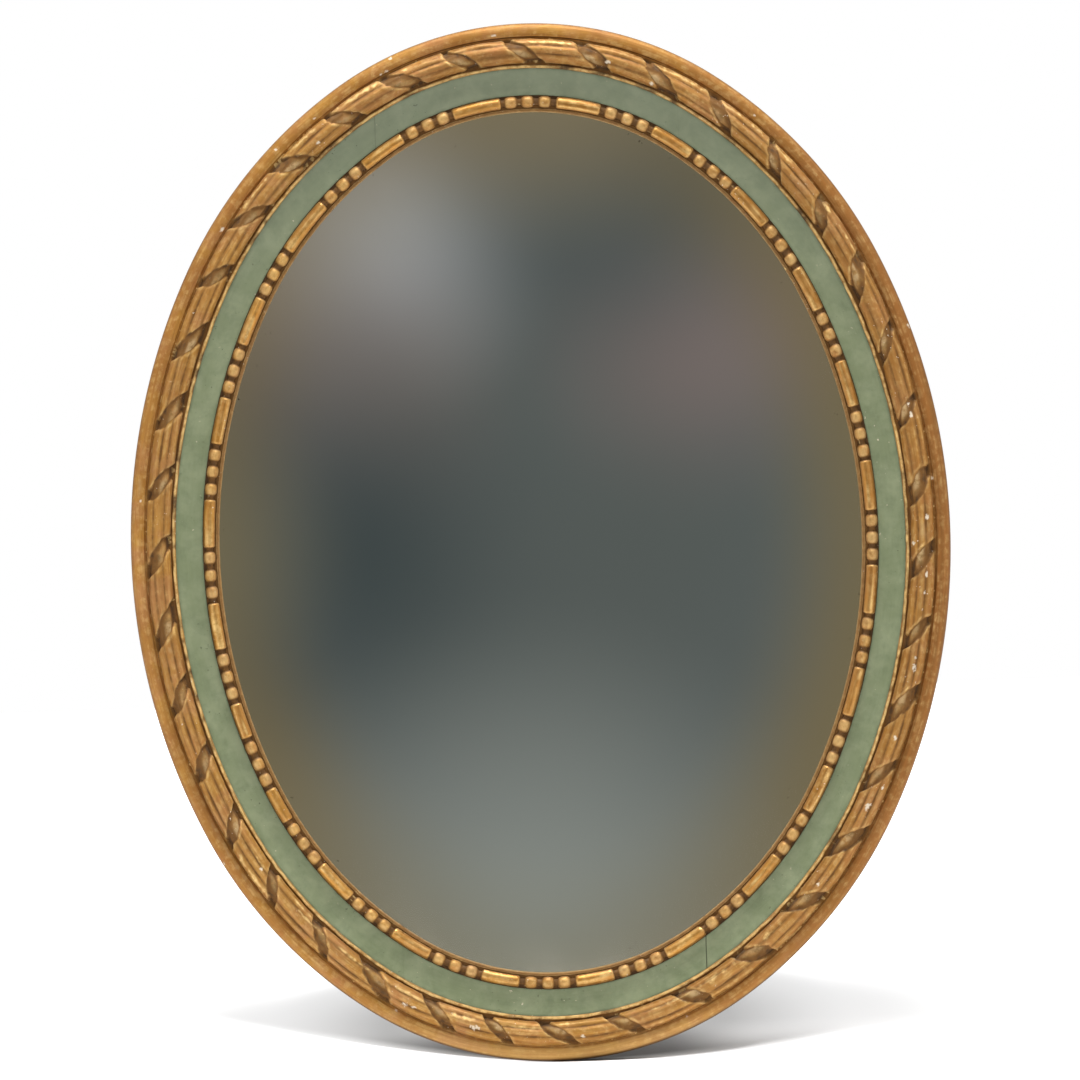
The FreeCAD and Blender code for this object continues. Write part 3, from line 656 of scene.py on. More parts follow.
    def carved(self, carver, mid):
        """Radius of the reeds and ribbons, with their hollow, raised and ribbon values."""
        band = self.band(carver, mid)
        reed, valley = self.reeds(band)
        ribbon, gap_half, lean = self.ribbon(band)
        beyond = band.best - gap_half
        end = np.clip(beyond / (1.7 * MM), 0, 1)
        end = np.sqrt(1 - (1 - end) ** 2)
        radius = ribbon + (np.maximum(reed, ribbon) - ribbon) * end
        for depth, cell_along, cell_round in ((0.26, 15, 3.6), (0.14, 6, 2.4), (0.06, 2.2, 1.6)):
            radius = radius + depth * MM * carver.waves(mid, band.round, cell_along * MM,
                                                        cell_round * MM)
        radius = np.minimum(radius, self.sizes.crest_radius - 0.02 * MM)
        on_ribbon = smooth_step(gap_half + 0.6 * MM - band.best, 0, 1.6 * MM)
        dirty = carver.waves(mid, band.round, 4 * MM, 3 * MM) * 0.5 + 0.5
        soft = softened(radius, 3, 4)

        # Dirt and painted shade in cuts, valleys, feet and ribbon ends; painted shadow above a ribbon
        # and on its edges
        after = band.signed > 0
        edges = np.exp(-(beyond / np.where(after, 1.15 * MM, 0.8 * MM)) ** 2)
        edges *= np.where(after, 1.15, 0.3)
        ends = smooth_step(np.abs(band.share - 0.5), 0.3, 0.45)
        above = 1 - smooth_step(band.share, 0.28, 0.6)
        above = np.maximum(above, smooth_step(lean, 0.0, 0.9) * 0.9)
        hollow = np.maximum.reduce([
            np.clip((soft - radius) / (0.42 * MM), 0, 1) * 0.55, valley * 0.36 * end,
            ends * on_ribbon * (0.7 + 0.3 * dirty), edges * (0.2 + 0.65 * dirty),
            above * on_ribbon * (0.35 + 0.5 * dirty),
            np.exp(-band.round / (0.6 * MM)) * 0.4,
            np.exp(-(math.pi - band.phi) * self.girth / (1.4 * MM)) * 0.75])

        # Leaf is rubbed on what stands up; the blunt reed ends below a ribbon get a painted highlight
        nose_highlight = np.exp(-((beyond - 1.4 * MM) / (0.9 * MM)) ** 2) * ~after
        nose_highlight *= smooth_step(band.share, 0.3, 0.55) * (1 - 0.8 * band.falling)
        raised = np.maximum(np.clip((radius - soft) / (0.5 * MM), 0, 1) * 0.3,
                            nose_highlight * (1 - dirty) * 0.9)

        dusty = np.exp(-((band.share - 0.62) / 0.2) ** 2) * self.dusts[band.nearest]
        dusty *= smooth_step(-lean, -0.45, 0.25)
        inward = np.clip(self.centre - radius * np.cos(band.phi), self.reed_line + 0.35 * MM,
                         self.fillet_line - 0.35 * MM)
        level = np.maximum(self.base + radius * np.sin(band.phi), self.groove)
        return inward, level, hollow, raised, on_ribbon * (0.35 + 0.65 * dusty)

    def rolled_rim(self, carver, along):
        """The plain rim, a little uneven by the plane."""
        inward, level = columns_of(self.rim, len(along))
        wave = carver.waves(along, inward, 26 * MM, 6 * MM) * 0.16 * MM
        wave += carver.waves(along, inward, 5 * MM, 2.5 * MM) * 0.05 * MM
        level += (wave - 0.12 * MM) * smooth_step(level, self.ledge + 2 * MM, self.rim_top)
        return inward, level

    def uneven_fillet(self, carver, along):
        """The fillet with its wavering edge, and how much of its leaf is broken."""
        inward, level = columns_of(self.fillet, len(along))
        up = self.fillet[:, 1]
        level += carver.waves(along, inward, 9 * MM, 3 * MM) * 0.2 * MM * (
            up > self.groove + 0.3 * MM)
        inward += carver.waves(along, inward * 0, 7 * MM, 3 * MM) * 0.35 * MM * (
            up > self.fillet_top - 0.6 * MM)
        broken = np.clip(0.35 + carver.waves(along, inward, 6 * MM, 4 * MM), 0, 1)
        broken *= np.clip(0.6 + carver.waves(along, inward, 40 * MM, 9 * MM), 0, 1)
        return inward, level, broken

    def __call__(self, along):
        """Inward places, levels and named values at these distances."""
        carver = Carver(self.carving_seed, self.around)
        first, last = len(self.rim), len(self.fillet)
        mid_in, mid_up, mid_hollow, mid_raised, ribbons = self.carved(
            carver, along[:, first:-last])
        rim_in, rim_up = self.rolled_rim(carver, along[:, :first])
        fillet_in, fillet_up, broken = self.uneven_fillet(carver, along[:, -last:])
        inward = np.concatenate([rim_in, mid_in, fillet_in], axis=1)
        level = np.concatenate([rim_up, mid_up, fillet_up], axis=1)

        high = level > self.base + 0.5 * MM
        # Chips, worn leaf, and the runs painted bright as highlights
        chip, worn, rubbed = (
            spots(self.oval, along, inward, self.centre, carver, table, cell * MM, soft) * high
            for table, cell, soft in ((CHIPS, 1.1, 0.35), (WORN, 3.5, 1.2), (PAINTED_HIGHLIGHTS, 2.5, 0.8)))
        red = np.clip(carver.waves(along, inward, 13 * MM, 5 * MM) - 0.1, 0, 1) * 0.45

        # Dirt and painted shade in the groove by the reeds, at the rim's outer edge and beside the
        # fillet
        rim_gap = np.hypot(self.rim[:, 0] - self.reed_line, self.rim[:, 1] - self.base)
        fillet_gap = np.hypot(self.fillet[:, 0] - self.fillet_line, self.fillet[:, 1] - self.base)
        rim_dirt_and_shade = 0.42 * np.maximum(np.exp(-rim_gap / (0.8 * MM)),
                                       np.exp(-self.rim[:, 0] / (1.0 * MM)))
        rim_zero, fillet_zero = np.zeros_like(rim_in), np.zeros_like(fillet_in)
        fillet_top = np.where(self.fillet[:, 1] > self.fillet_top - 0.3 * MM, 0.9, 0.0)
        hollow = np.concatenate([rim_zero + rim_dirt_and_shade, mid_hollow, np.maximum(
            0.8 * np.exp(-fillet_gap / (1.5 * MM)), broken * 0.85)], axis=1)
        raised = np.concatenate([rim_zero, mid_raised, fillet_zero + fillet_top], axis=1)
        return inward, level - 0.22 * MM * chip, {
            "hollow": hollow, "raised": np.maximum(raised, rubbed), "chip": chip, "worn": worn,
            "ribbon": np.concatenate([rim_zero, ribbons, fillet_zero], axis=1),
            "plain": np.concatenate([rim_zero + 1, ribbons * 0, fillet_zero], axis=1),
            "red": red}


class BeadedSection:
    """Section of the bead-and-reel band and the sight lip, called as the reeded one is."""
    carving_seed, size_seed = 24, 24
    blend = 14 * MM
    # Rounding of a reel's ends
    round_over = 2.2 * MM
    # Radius that turns angles round the beads into lengths
    girth = 4.0 * MM
    steps = 31

    def __init__(self, oval):
        plan, sizes = setting("plan"), setting("beaded")
        self.sizes = sizes
        self.bead_line = (plan.rim_width + plan.reed_width + plan.fillet_width
                          + plan.frieze_width)
        self.lip_line = self.bead_line + plan.bead_width
        self.sight_line = self.lip_line + plan.lip_width
        self.centre = (self.bead_line + self.lip_line) / 2
        self.around = oval.perimeter(self.centre)
        self.rebate = plan.rebate_level
        self.seat = self.rebate + sizes.bead_seat
        self.middle_level = self.seat + sizes.bead_rise
        self.lip = self.rebate + sizes.lip_rise
        self.outer = np.array([(self.bead_line, self.rebate),
                               (self.bead_line, self.seat - 0.6 * MM),
                               (self.bead_line + 0.02 * MM, self.seat)])
        self.inner = self.lip_points()
        self.slots = np.zeros(len(self.outer) + self.steps + len(self.inner), int)
        self.draw_beads(spaced(oval, BEAD_GROUPS, BEAD_SLIPS, self.centre))
        self.rows = self.carved_rows()

    def lip_points(self):
        """Corners of the sight lip, from the seat of the beads over its round edge and back."""
        seat, lip, sight = self.seat, self.lip, self.sight_line
        return np.concatenate([
            run_of([(self.lip_line - 0.02 * MM, seat),
                    (self.lip_line + 0.05 * MM, lip - 0.2 * MM)], 2),
            run_of([(self.lip_line + 0.3 * MM, lip), (sight - 0.9 * MM, lip)], 3),
            arc_of((sight - 0.9 * MM, lip), (sight - 0.27 * MM, lip - 0.27 * MM),
                   (sight, lip - 0.9 * MM), 5)[1:],
            run_of([(sight, self.rebate + 0.3 * MM), (sight - 0.3 * MM, self.rebate)], 2),
            np.array([((self.bead_line + sight) / 2, self.rebate)]),
        ])

    def draw_beads(self, groups):
        """Place, half length and radius of each bead and each reel, all a little uneven."""
        sizes = self.sizes
        random = np.random.default_rng(self.size_seed)
        after = np.append(groups[1:], groups[0] + self.around)
        clear = sizes.bead_pitch + sizes.bead_half + sizes.reel_gap
        beads = np.concatenate([groups - sizes.bead_pitch, groups, groups + sizes.bead_pitch])
        beads += random.uniform(-0.4, 0.4, len(beads)) * MM
        self.beads = list(zip(
            beads, sizes.bead_half * random.uniform(0.95, 1.03, len(beads)),
            sizes.bead_radius * random.uniform(0.95, 1.0, len(beads))))
        self.reels = list(zip(
            (groups + after) / 2,
            ((after - groups) / 2 - clear) * random.uniform(0.97, 1.03, len(groups)),
            sizes.reel_radius * random.uniform(0.98, 1.04, len(groups))))

    def carved_rows(self):
        """Rows of the mesh, close together where beads and reels curve."""
        spread = np.sin(np.linspace(-math.pi / 2, math.pi / 2, 15))
        cap = (1 - np.cos(np.linspace(0, math.pi / 2, 6))) * self.round_over
        rows = [place + spread * half for place, half, _ in self.beads]
        for place, half, _ in self.reels:
            straight = half - self.round_over
            rows += [place - half + cap, place + half - cap,
                     np.linspace(place - straight, place + straight, 14)[1:-1]]
        rows = np.sort(np.concatenate(rows) % self.around)
        return np.concatenate([rows - self.around, rows])

    def turned(self, mid):
        """Radius of beads, reels and necks, and how far each point lies on a reel."""
        radius, on_reel = np.full(mid.shape, self.sizes.neck_radius), np.zeros(mid.shape)
        for place, half, top in self.beads:
            gap = np.abs(way_from(place, mid, self.around))
            body = np.clip(1 - (gap / half) ** 2.7, 0, 1) ** (1 / 2.1)
            radius = np.maximum(radius, top * body)
        for place, half, top in self.reels:
            gap = np.abs(way_from(place, mid, self.around))
            over = np.clip((gap - half + self.round_over) / self.round_over, 0, 1)
            body = 0.35 + 0.65 * np.sqrt(np.clip(1 - over ** 2, 0, 1))
            swell = 1 + 0.03 * np.cos(np.clip(gap / half, 0, 1) * math.pi / 2)
            radius = np.maximum(radius, top * body * swell * (gap < half))
            on_reel = np.maximum(on_reel, smooth_step(half - gap, 0, 1.5 * MM))
        return radius, on_reel

    def __call__(self, along):
        """Inward places, levels and named values at these distances."""
        sizes, seat = self.sizes, self.seat
        carver = Carver(self.carving_seed, self.around)
        first = len(self.outer)
        carved = slice(first, first + self.steps)
        mid = along[:, carved]
        radius, on_reel = self.turned(mid)
        foot = np.arcsin(np.clip(sizes.bead_rise / radius, 0, 1))
        turn_share = np.linspace(0, 1, self.steps)
        phi = -foot + (math.pi + 2 * foot) * turn_share
        rough = carver.waves(mid, phi * self.girth, 5 * MM, 2.4 * MM) * 0.09 * MM
        rough += carver.waves(mid, phi * self.girth, 1.6 * MM, 1.2 * MM) * 0.035 * MM
        worked = radius + rough * np.sin(turn_share * math.pi)
        mid_in = np.clip(self.centre - worked * np.cos(phi), self.bead_line + 0.05 * MM,
                         self.lip_line - 0.05 * MM)
        mid_up = self.middle_level + worked * np.sin(phi)

        outer_in, outer_up = columns_of(self.outer, len(along))
        lip_in, lip_up = columns_of(self.inner, len(along))
        lip_up += carver.waves(along[:, carved.stop:], lip_in, 9 * MM, 3 * MM) * 0.1 * MM * (
            self.inner[:, 1] > self.lip - 0.5 * MM)
        inward = np.concatenate([outer_in, mid_in, lip_in], axis=1)
        level = np.concatenate([outer_up, mid_up, lip_up], axis=1)

        # Dirt and painted shade lie between the beads and at their seat; painted shade darkens their
        # flanks and ends
        depth = (0.9 * sizes.bead_radius - radius) / (0.42 * sizes.bead_radius)
        depth = np.clip(depth, 0, 1)
        low = np.clip(1 - (mid_up - seat) / (0.9 * MM), 0, 1) * 0.52
        flank_shade = np.clip(1 - (mid_up - seat) / (5.5 * MM), 0, 1) ** 1.2 * 0.55
        lip_hollow = np.where(self.inner[:, 0] < self.lip_line + 0.1 * MM, 0.45, 0.28)
        lip_dull = np.where(self.inner[:, 1] > self.lip - 0.3 * MM, 0.12, 0.2)

        # Bead tops and streaks along the reels get painted highlights through the rubbed leaf
        peak = np.clip((mid_up - self.middle_level) / (4.2 * MM), 0, 1) ** 2
        rubbed = np.clip(carver.waves(mid, phi * self.girth, 16 * MM, 1.8 * MM), 0, 1)
        wear_and_highlight = 0.1 + 0.3 * (1 - on_reel) + rubbed * 0.9 * on_reel
        values = {key: np.zeros(inward.shape) for key in (
            "hollow", "raised", "ribbon", "chip", "plain", "burnished")}
        values["hollow"][:, :first] = 1
        values["hollow"][:, carved] = np.maximum(np.maximum(depth * 0.78, low), flank_shade)
        values["hollow"][:, carved.stop:] = lip_hollow
        values["raised"][:, carved] = peak * (1 - depth) * wear_and_highlight
        values["ribbon"][:, carved.stop:] = lip_dull
        values["burnished"][:, carved] = (1 - depth) * (0.35 + 0.65 * on_reel)
        red = np.clip(carver.waves(along, inward, 11 * MM, 5 * MM) + 0.2, 0, 1) * 0.5
        worn = np.clip(carver.waves(along, inward, 14 * MM, 6 * MM) + 0.3, 0, 1) * 0.8
        worn[:, carved] *= 1 - 0.85 * on_reel
        worn[:, carved.stop:] = 0.7
        return inward, level, {**values, "red": red, "worn": worn}


class CoreSection:
    """Section of the painted core, called as the reeded one is."""
    carving_seed = 7
    blend = 60 * MM
    # How open the joint after each quarter stands: the one at lower right shows most
    open_shares = {"top": 0.1, "right": 1.0, "bottom": 0.1, "left": 0.35}
    face_points = 17
    joint_reach = 40 * MM

    def __init__(self, oval):
        plan = setting("plan")
        self.oval = oval
        self.frieze_line = plan.rim_width + plan.reed_width + plan.fillet_width
        self.bead_line = self.frieze_line + plan.frieze_width
        self.centre = (self.frieze_line + self.bead_line) / 2
        self.around = oval.perimeter(self.centre)
        self.loop = self.loop_points(plan)
        self.painted = np.arange(len(self.loop)) < self.face_points
        # Face slots follow the columns: 0 frieze paint, 1 bare timber, 2 side wash
        self.slots = np.ones(len(self.loop), int)
        self.slots[:self.face_points - 1] = 0
        self.slots[-1] = 0
        self.slots[-8:-2] = 2
        self.cracks = [(span_of(oval, quarter, self.centre)[1], self.open_shares[quarter])
                       for quarter in QUARTERS]

    def loop_points(self, plan):
        """Corners all round the core, from the fillet over the hollow frieze to the rebate."""
        edge, ledge, rebate = plan.core_setback, plan.ledge_level, plan.rebate_level
        rebate_line = self.bead_line + plan.rebate_seat
        hollow_level = (plan.frieze_inner + plan.frieze_outer) / 2 - 0.9 * MM
        return np.concatenate([
            arc_of((self.frieze_line, plan.frieze_outer), (self.centre, hollow_level),
                   (self.bead_line, plan.frieze_inner), self.face_points),
            [(self.bead_line, rebate), (rebate_line, rebate)],
            run_of([(rebate_line, rebate - 0.6 * MM), (rebate_line, 0.5 * MM)], 4),
            [(rebate_line - 0.5 * MM, 0)],
            run_of([(rebate_line - 1.5 * MM, 0), (edge + 1.8 * MM, 0)], 9),
            [(edge + 0.8 * MM, 0), (edge, 0.8 * MM)],
            run_of([(edge, 1.8 * MM), (edge, ledge - 0.3 * MM)], 5),
            [(edge + 0.3 * MM, ledge), (self.frieze_line, ledge)],
        ])

    def open_joints(self, along, inward):
        """Hairlines where the joints stand open, measured sideways because they are upright."""
        x = self.oval.plan(self.oval.angle(along, self.centre), inward)[0]
        line = np.clip(1 - np.abs(np.abs(x) - self.oval.reach) / (0.55 * MM), 0, 1)
        crack = np.zeros(inward.shape)
        for place, strength in self.cracks:
            near = np.abs(way_from(place, along, self.around)) < self.joint_reach
            crack = np.maximum(crack, line * strength * near)
        return crack

    def __call__(self, along):
        """Inward places, levels and named values at these distances."""
        carver = Carver(self.carving_seed, self.around)
        inward, level = columns_of(self.loop, len(along))
        wave = carver.waves(along, inward, 18 * MM, 8 * MM) * 0.10 * MM
        wave += carver.waves(along, inward, 4 * MM, 3 * MM) * 0.035 * MM
        crack = self.open_joints(along, inward)
        level += (wave - 0.5 * MM * crack) * self.painted
        # Where the frieze meets the fillet and the beads: dirt and painted shade
        at_fillet = np.clip(1 - np.abs(inward - self.frieze_line) / (1.6 * MM), 0, 1)
        at_beads = np.clip(1 - np.abs(inward - self.bead_line) / (1.4 * MM), 0, 1)
        hollow = np.maximum(at_fillet, at_beads) * self.painted
        return inward, level, {"hollow": hollow, "crack": crack}


# Shader helper

class Graph:
    """Adds nodes to a material's or a group's tree and joins them."""

    def __init__(self, tree):
        self.tree = tree

    def add(self, kind, **settings):
        """One node with its settings."""
        node = self.tree.nodes.new(kind)
        for key, value in settings.items():
            setattr(node, key, value)
        return node

    def put(self, value, socket):
        """Joins a socket to an input, or sets a constant on it."""
        if isinstance(value, bpy.types.NodeSocket):
            self.tree.links.new(value, socket)
        elif socket.type == "RGBA" and len(value) == 3:
            socket.default_value = (*value, 1.0)
        else:
            socket.default_value = value

    def math(self, operation, a, b=None, clamp=False):
        """Any operation on one or two values."""
        node = self.add("ShaderNodeMath", operation=operation, use_clamp=clamp)
        self.put(a, node.inputs[0])
        if b is not None:
            self.put(b, node.inputs[1])
        return node.outputs[0]

    def times(self, a, b, clamp=False):
        """Product of two values."""
        return self.math("MULTIPLY", a, b, clamp)

    def plus(self, a, b, clamp=False):
        """Total of two values."""
        return self.math("ADD", a, b, clamp)

    def minus(self, a, b):
        """First value less the second."""
        return self.math("SUBTRACT", a, b)

    def rest(self, mask):
        """What a mask leaves over."""
        return self.minus(1.0, mask)

    def most(self, first, *others):
        """Largest of some masks."""
        for other in others:
            first = self.math("MAXIMUM", first, other)
        return first

    def mix(self, amount, a, b):
        """From colour a to colour b."""
        node = self.add("ShaderNodeMix", data_type="RGBA")
        self.put(amount, node.inputs[0])
        self.put(a, node.inputs[6])
        self.put(b, node.inputs[7])
        return node.outputs[2]

    def layered(self, colour, *layers):
        """Lays colours over one another in order, each by its mask."""
        for amount, tint in layers:
            colour = self.mix(amount, colour, tint)
        return colour

    def step(self, value, low, high, first=0.0, last=1.0):
        """Smooth change from first to last while the value goes from low to high."""
        node = self.add("ShaderNodeMapRange", interpolation_type="SMOOTHSTEP")
        self.put(value, node.inputs[0])
        for socket, number in zip(node.inputs[1:5], (low, high, first, last)):
            self.put(number, socket)
        return node.outputs[0]

    def named(self, name, vector=False):
        """A value that the mesh carries under this name."""
        node = self.add("ShaderNodeAttribute", attribute_name=name)
        return node.outputs["Vector" if vector else "Fac"]

    def places(self):
        """Places in the piece's own axes."""
        return self.add("ShaderNodeTexCoord").outputs["Object"]

    def normal(self):
        """Direction in which the surface faces."""
        return self.add("ShaderNodeNewGeometry").outputs["Normal"]

    def axis(self, vector, name):
        """One part of a vector."""
        node = self.add("ShaderNodeSeparateXYZ")
        self.put(vector, node.inputs[0])
        return node.outputs[name]

    def size_of(self, vector):
        """Length of a vector."""
        node = self.add("ShaderNodeVectorMath", operation="LENGTH")
        self.put(vector, node.inputs[0])
        return node.outputs["Value"]

    def seen(self):
        """One for rays of the camera and of reflections."""
        path = self.add("ShaderNodeLightPath")
        return self.most(path.outputs["Is Camera Ray"], path.outputs["Is Glossy Ray"])

    def stretched(self, vector, scale, location=(0, 0, 0)):
        """Places with other scales along the axes, and moved."""
        node = self.add("ShaderNodeMapping")
        self.put(vector, node.inputs["Vector"])
        node.inputs["Scale"].default_value = scale
        node.inputs["Location"].default_value = location
        return node.outputs[0]

    def noise(self, vector, scale, detail=3.0, roughness=0.55, distortion=0.0):
        """Soft cloudy values."""
        node = self.add("ShaderNodeTexNoise")
        self.put(vector, node.inputs["Vector"])
        self.put(scale, node.inputs["Scale"])
        node.inputs["Detail"].default_value = detail
        node.inputs["Roughness"].default_value = roughness
        node.inputs["Distortion"].default_value = distortion
        return node.outputs[0]

    def group(self, name, **values):
        """One of the shared effects with its own values."""
        node = self.add("ShaderNodeGroup")
        node.node_tree = bpy.data.node_groups[name]
        for key, value in values.items():
            self.put(value, node.inputs[key.capitalize()])
        return node.outputs

    def mottle(self, vector, scale, low, high):
        """Mask of patches left by hand work."""
        return self.group("Hand mottle", vector=vector, scale=scale, low=low, high=high)[0]

    def streaks(self, vector, scale, location=(0, 0, 0)):
        """Mask of streaks, long where the scale is small."""
        return self.group("Brushed streaks", vector=self.stretched(vector, scale, location))[0]

    def specks(self, vector, scale, rarity):
        """Mask of small specks."""
        return self.group("Fine specks", vector=vector, scale=scale, rarity=rarity)[0]

    def wear(self, vector, scale, amount, raised=0.0):
        """Mask of worn edges."""
        return self.group("Edge wear", vector=vector, raised=raised, scale=scale,
                          amount=amount)[0]

    def dust(self, vector, amount):
        """Mask of dust on what faces up."""
        return self.group("Settled dust", vector=vector, amount=amount)[0]

    def bump(self, height, strength, distance):
        """Normal that a fine relief turns."""
        node = self.add("ShaderNodeBump")
        node.inputs["Strength"].default_value = strength
        node.inputs["Distance"].default_value = distance
        self.put(height, node.inputs["Height"])
        return node.outputs[0]


def new_group(name, inputs, outputs):
    """Empty node group with named sockets, its helper, and its input and output nodes."""
    tree = bpy.data.node_groups.new(name, "ShaderNodeTree")
    for label, kind, default in inputs:
        socket = tree.interface.new_socket(name=label, in_out="INPUT", socket_type=kind)
        if default is not None:
            socket.default_value = default
    for label, kind in outputs:
        tree.interface.new_socket(name=label, in_out="OUTPUT", socket_type=kind)
    graph = Graph(tree)
    return graph, graph.add("NodeGroupInput").outputs, graph.add("NodeGroupOutput").inputs


FLOAT, COLOUR, VECTOR = "NodeSocketFloat", "NodeSocketColor", "NodeSocketVector"
AT = ("Vector", VECTOR, None)


def build_groups():
    """Effects that several finishes share, built once."""
    if "Hand mottle" in bpy.data.node_groups:
        return
    for build in (hand_mottle, edge_wear, settled_dust, fine_specks, brushed_streaks,
                  timber_grain, metal_tarnish):
        build()


def hand_mottle():
    """Soft patches where the hand laid more or less."""
    graph, given, made = new_group(
        "Hand mottle", [AT, ("Scale", FLOAT, 40.0), ("Low", FLOAT, 0.4), ("High", FLOAT, 0.65)],
        [("Mask", FLOAT)])
    field = graph.noise(given["Vector"], given["Scale"], 5.0, 0.6, 0.3)
    graph.put(graph.step(field, given["Low"], given["High"]), made["Mask"])


def edge_wear():
    """Broken wear on sharp edges and on what the mesh marks as raised."""
    graph, given, made = new_group(
        "Edge wear", [AT, ("Raised", FLOAT, 0.0), ("Scale", FLOAT, 300.0),
                      ("Amount", FLOAT, 0.5)], [("Mask", FLOAT)])
    point = graph.add("ShaderNodeNewGeometry").outputs["Pointiness"]
    edge = graph.most(graph.step(point, 0.515, 0.57), given["Raised"])
    field = graph.step(graph.noise(given["Vector"], given["Scale"], 4.0, 0.65), 0.32, 0.62)
    worn = graph.times(edge, graph.plus(field, 0.25))
    graph.put(graph.times(worn, given["Amount"], clamp=True), made["Mask"])


def settled_dust():
    """Dust that lies on surfaces facing up."""
    graph, given, made = new_group(
        "Settled dust", [AT, ("Amount", FLOAT, 0.3)], [("Mask", FLOAT)])
    upward = graph.step(graph.axis(graph.normal(), "Z"), 0.1, 0.95)
    field = graph.step(graph.noise(given["Vector"], 180.0, 4.0, 0.6), 0.35, 0.7)
    graph.put(graph.times(graph.times(upward, field), given["Amount"], clamp=True),
              made["Mask"])


def fine_specks():
    """Small specks that gather in places."""
    graph, given, made = new_group(
        "Fine specks", [AT, ("Scale", FLOAT, 350.0), ("Rarity", FLOAT, 0.72)],
        [("Mask", FLOAT)])
    fine = graph.noise(given["Vector"], given["Scale"], 2.0, 0.5)
    patch = graph.step(graph.noise(given["Vector"], 22.0, 2.0), 0.4, 0.7)
    speck = graph.step(fine, given["Rarity"], graph.plus(given["Rarity"], 0.03))
    graph.put(graph.times(speck, patch), made["Mask"])


def brushed_streaks():
    """Streaks along places that are stretched before."""
    graph, given, made = new_group("Brushed streaks", [AT], [("Streak", FLOAT)])
    graph.put(graph.step(graph.noise(given["Vector"], 1.0, 4.0, 0.7), 0.3, 0.7), made["Streak"])


def timber_grain():
    """Growth rings and pores of sawn timber."""
    graph, given, made = new_group(
        "Timber grain", [AT, ("Coarse", FLOAT, 9.0), ("Fine", FLOAT, 60.0)],
        [("Figure", FLOAT), ("Height", FLOAT)])
    wide = graph.noise(given["Vector"], given["Coarse"], 4.0, 0.5, 1.2)
    rings = graph.math("FRACT", graph.times(wide, 9.0))
    bands = graph.rest(graph.math("ABSOLUTE", graph.minus(graph.times(rings, 2.0), 1.0)))
    pores = graph.step(graph.noise(given["Vector"], given["Fine"], 3.0, 0.6), 0.35, 0.65)
    graph.put(graph.plus(graph.times(bands, 0.55), graph.times(pores, 0.45)), made["Figure"])
    graph.put(graph.plus(pores, graph.times(bands, 0.4)), made["Height"])


def metal_tarnish():
    """Clouds and small spots of tarnish, duller than the metal between them."""
    graph, given, made = new_group(
        "Metal tarnish", [AT, ("Clean", COLOUR, None), ("Tarnished", COLOUR, None),
                          ("Amount", FLOAT, 0.5)],
        [("Color", COLOUR), ("Roughness", FLOAT), ("Height", FLOAT)])
    cloud = graph.step(graph.noise(given["Vector"], 130.0, 5.0, 0.65), 0.35, 0.7)
    spot = graph.step(graph.noise(given["Vector"], 900.0, 3.0, 0.6), 0.5, 0.72)
    both = graph.times(graph.plus(cloud, graph.times(spot, 0.5)), given["Amount"], clamp=True)
    graph.put(graph.mix(both, given["Clean"], given["Tarnished"]), made["Color"])
    graph.put(graph.step(both, 0.0, 1.0, 0.26, 0.62), made["Roughness"])
    graph.put(graph.noise(given["Vector"], 1400.0, 3.0, 0.6), made["Height"])


def new_material(name):
    """Material with its helper and its shader."""
    build_groups()
    material = bpy.data.materials.new(name)
    material.use_nodes = True
    shader = material.node_tree.nodes["Principled BSDF"]
    return material, Graph(material.node_tree), shader


def made_once(build):
    """Keeps one copy of each finish."""
    kept = {}

    def get():
        if "finish" not in kept:
            kept["finish"] = build()
        return kept["finish"]
    get.__doc__ = build.__doc__
    return get


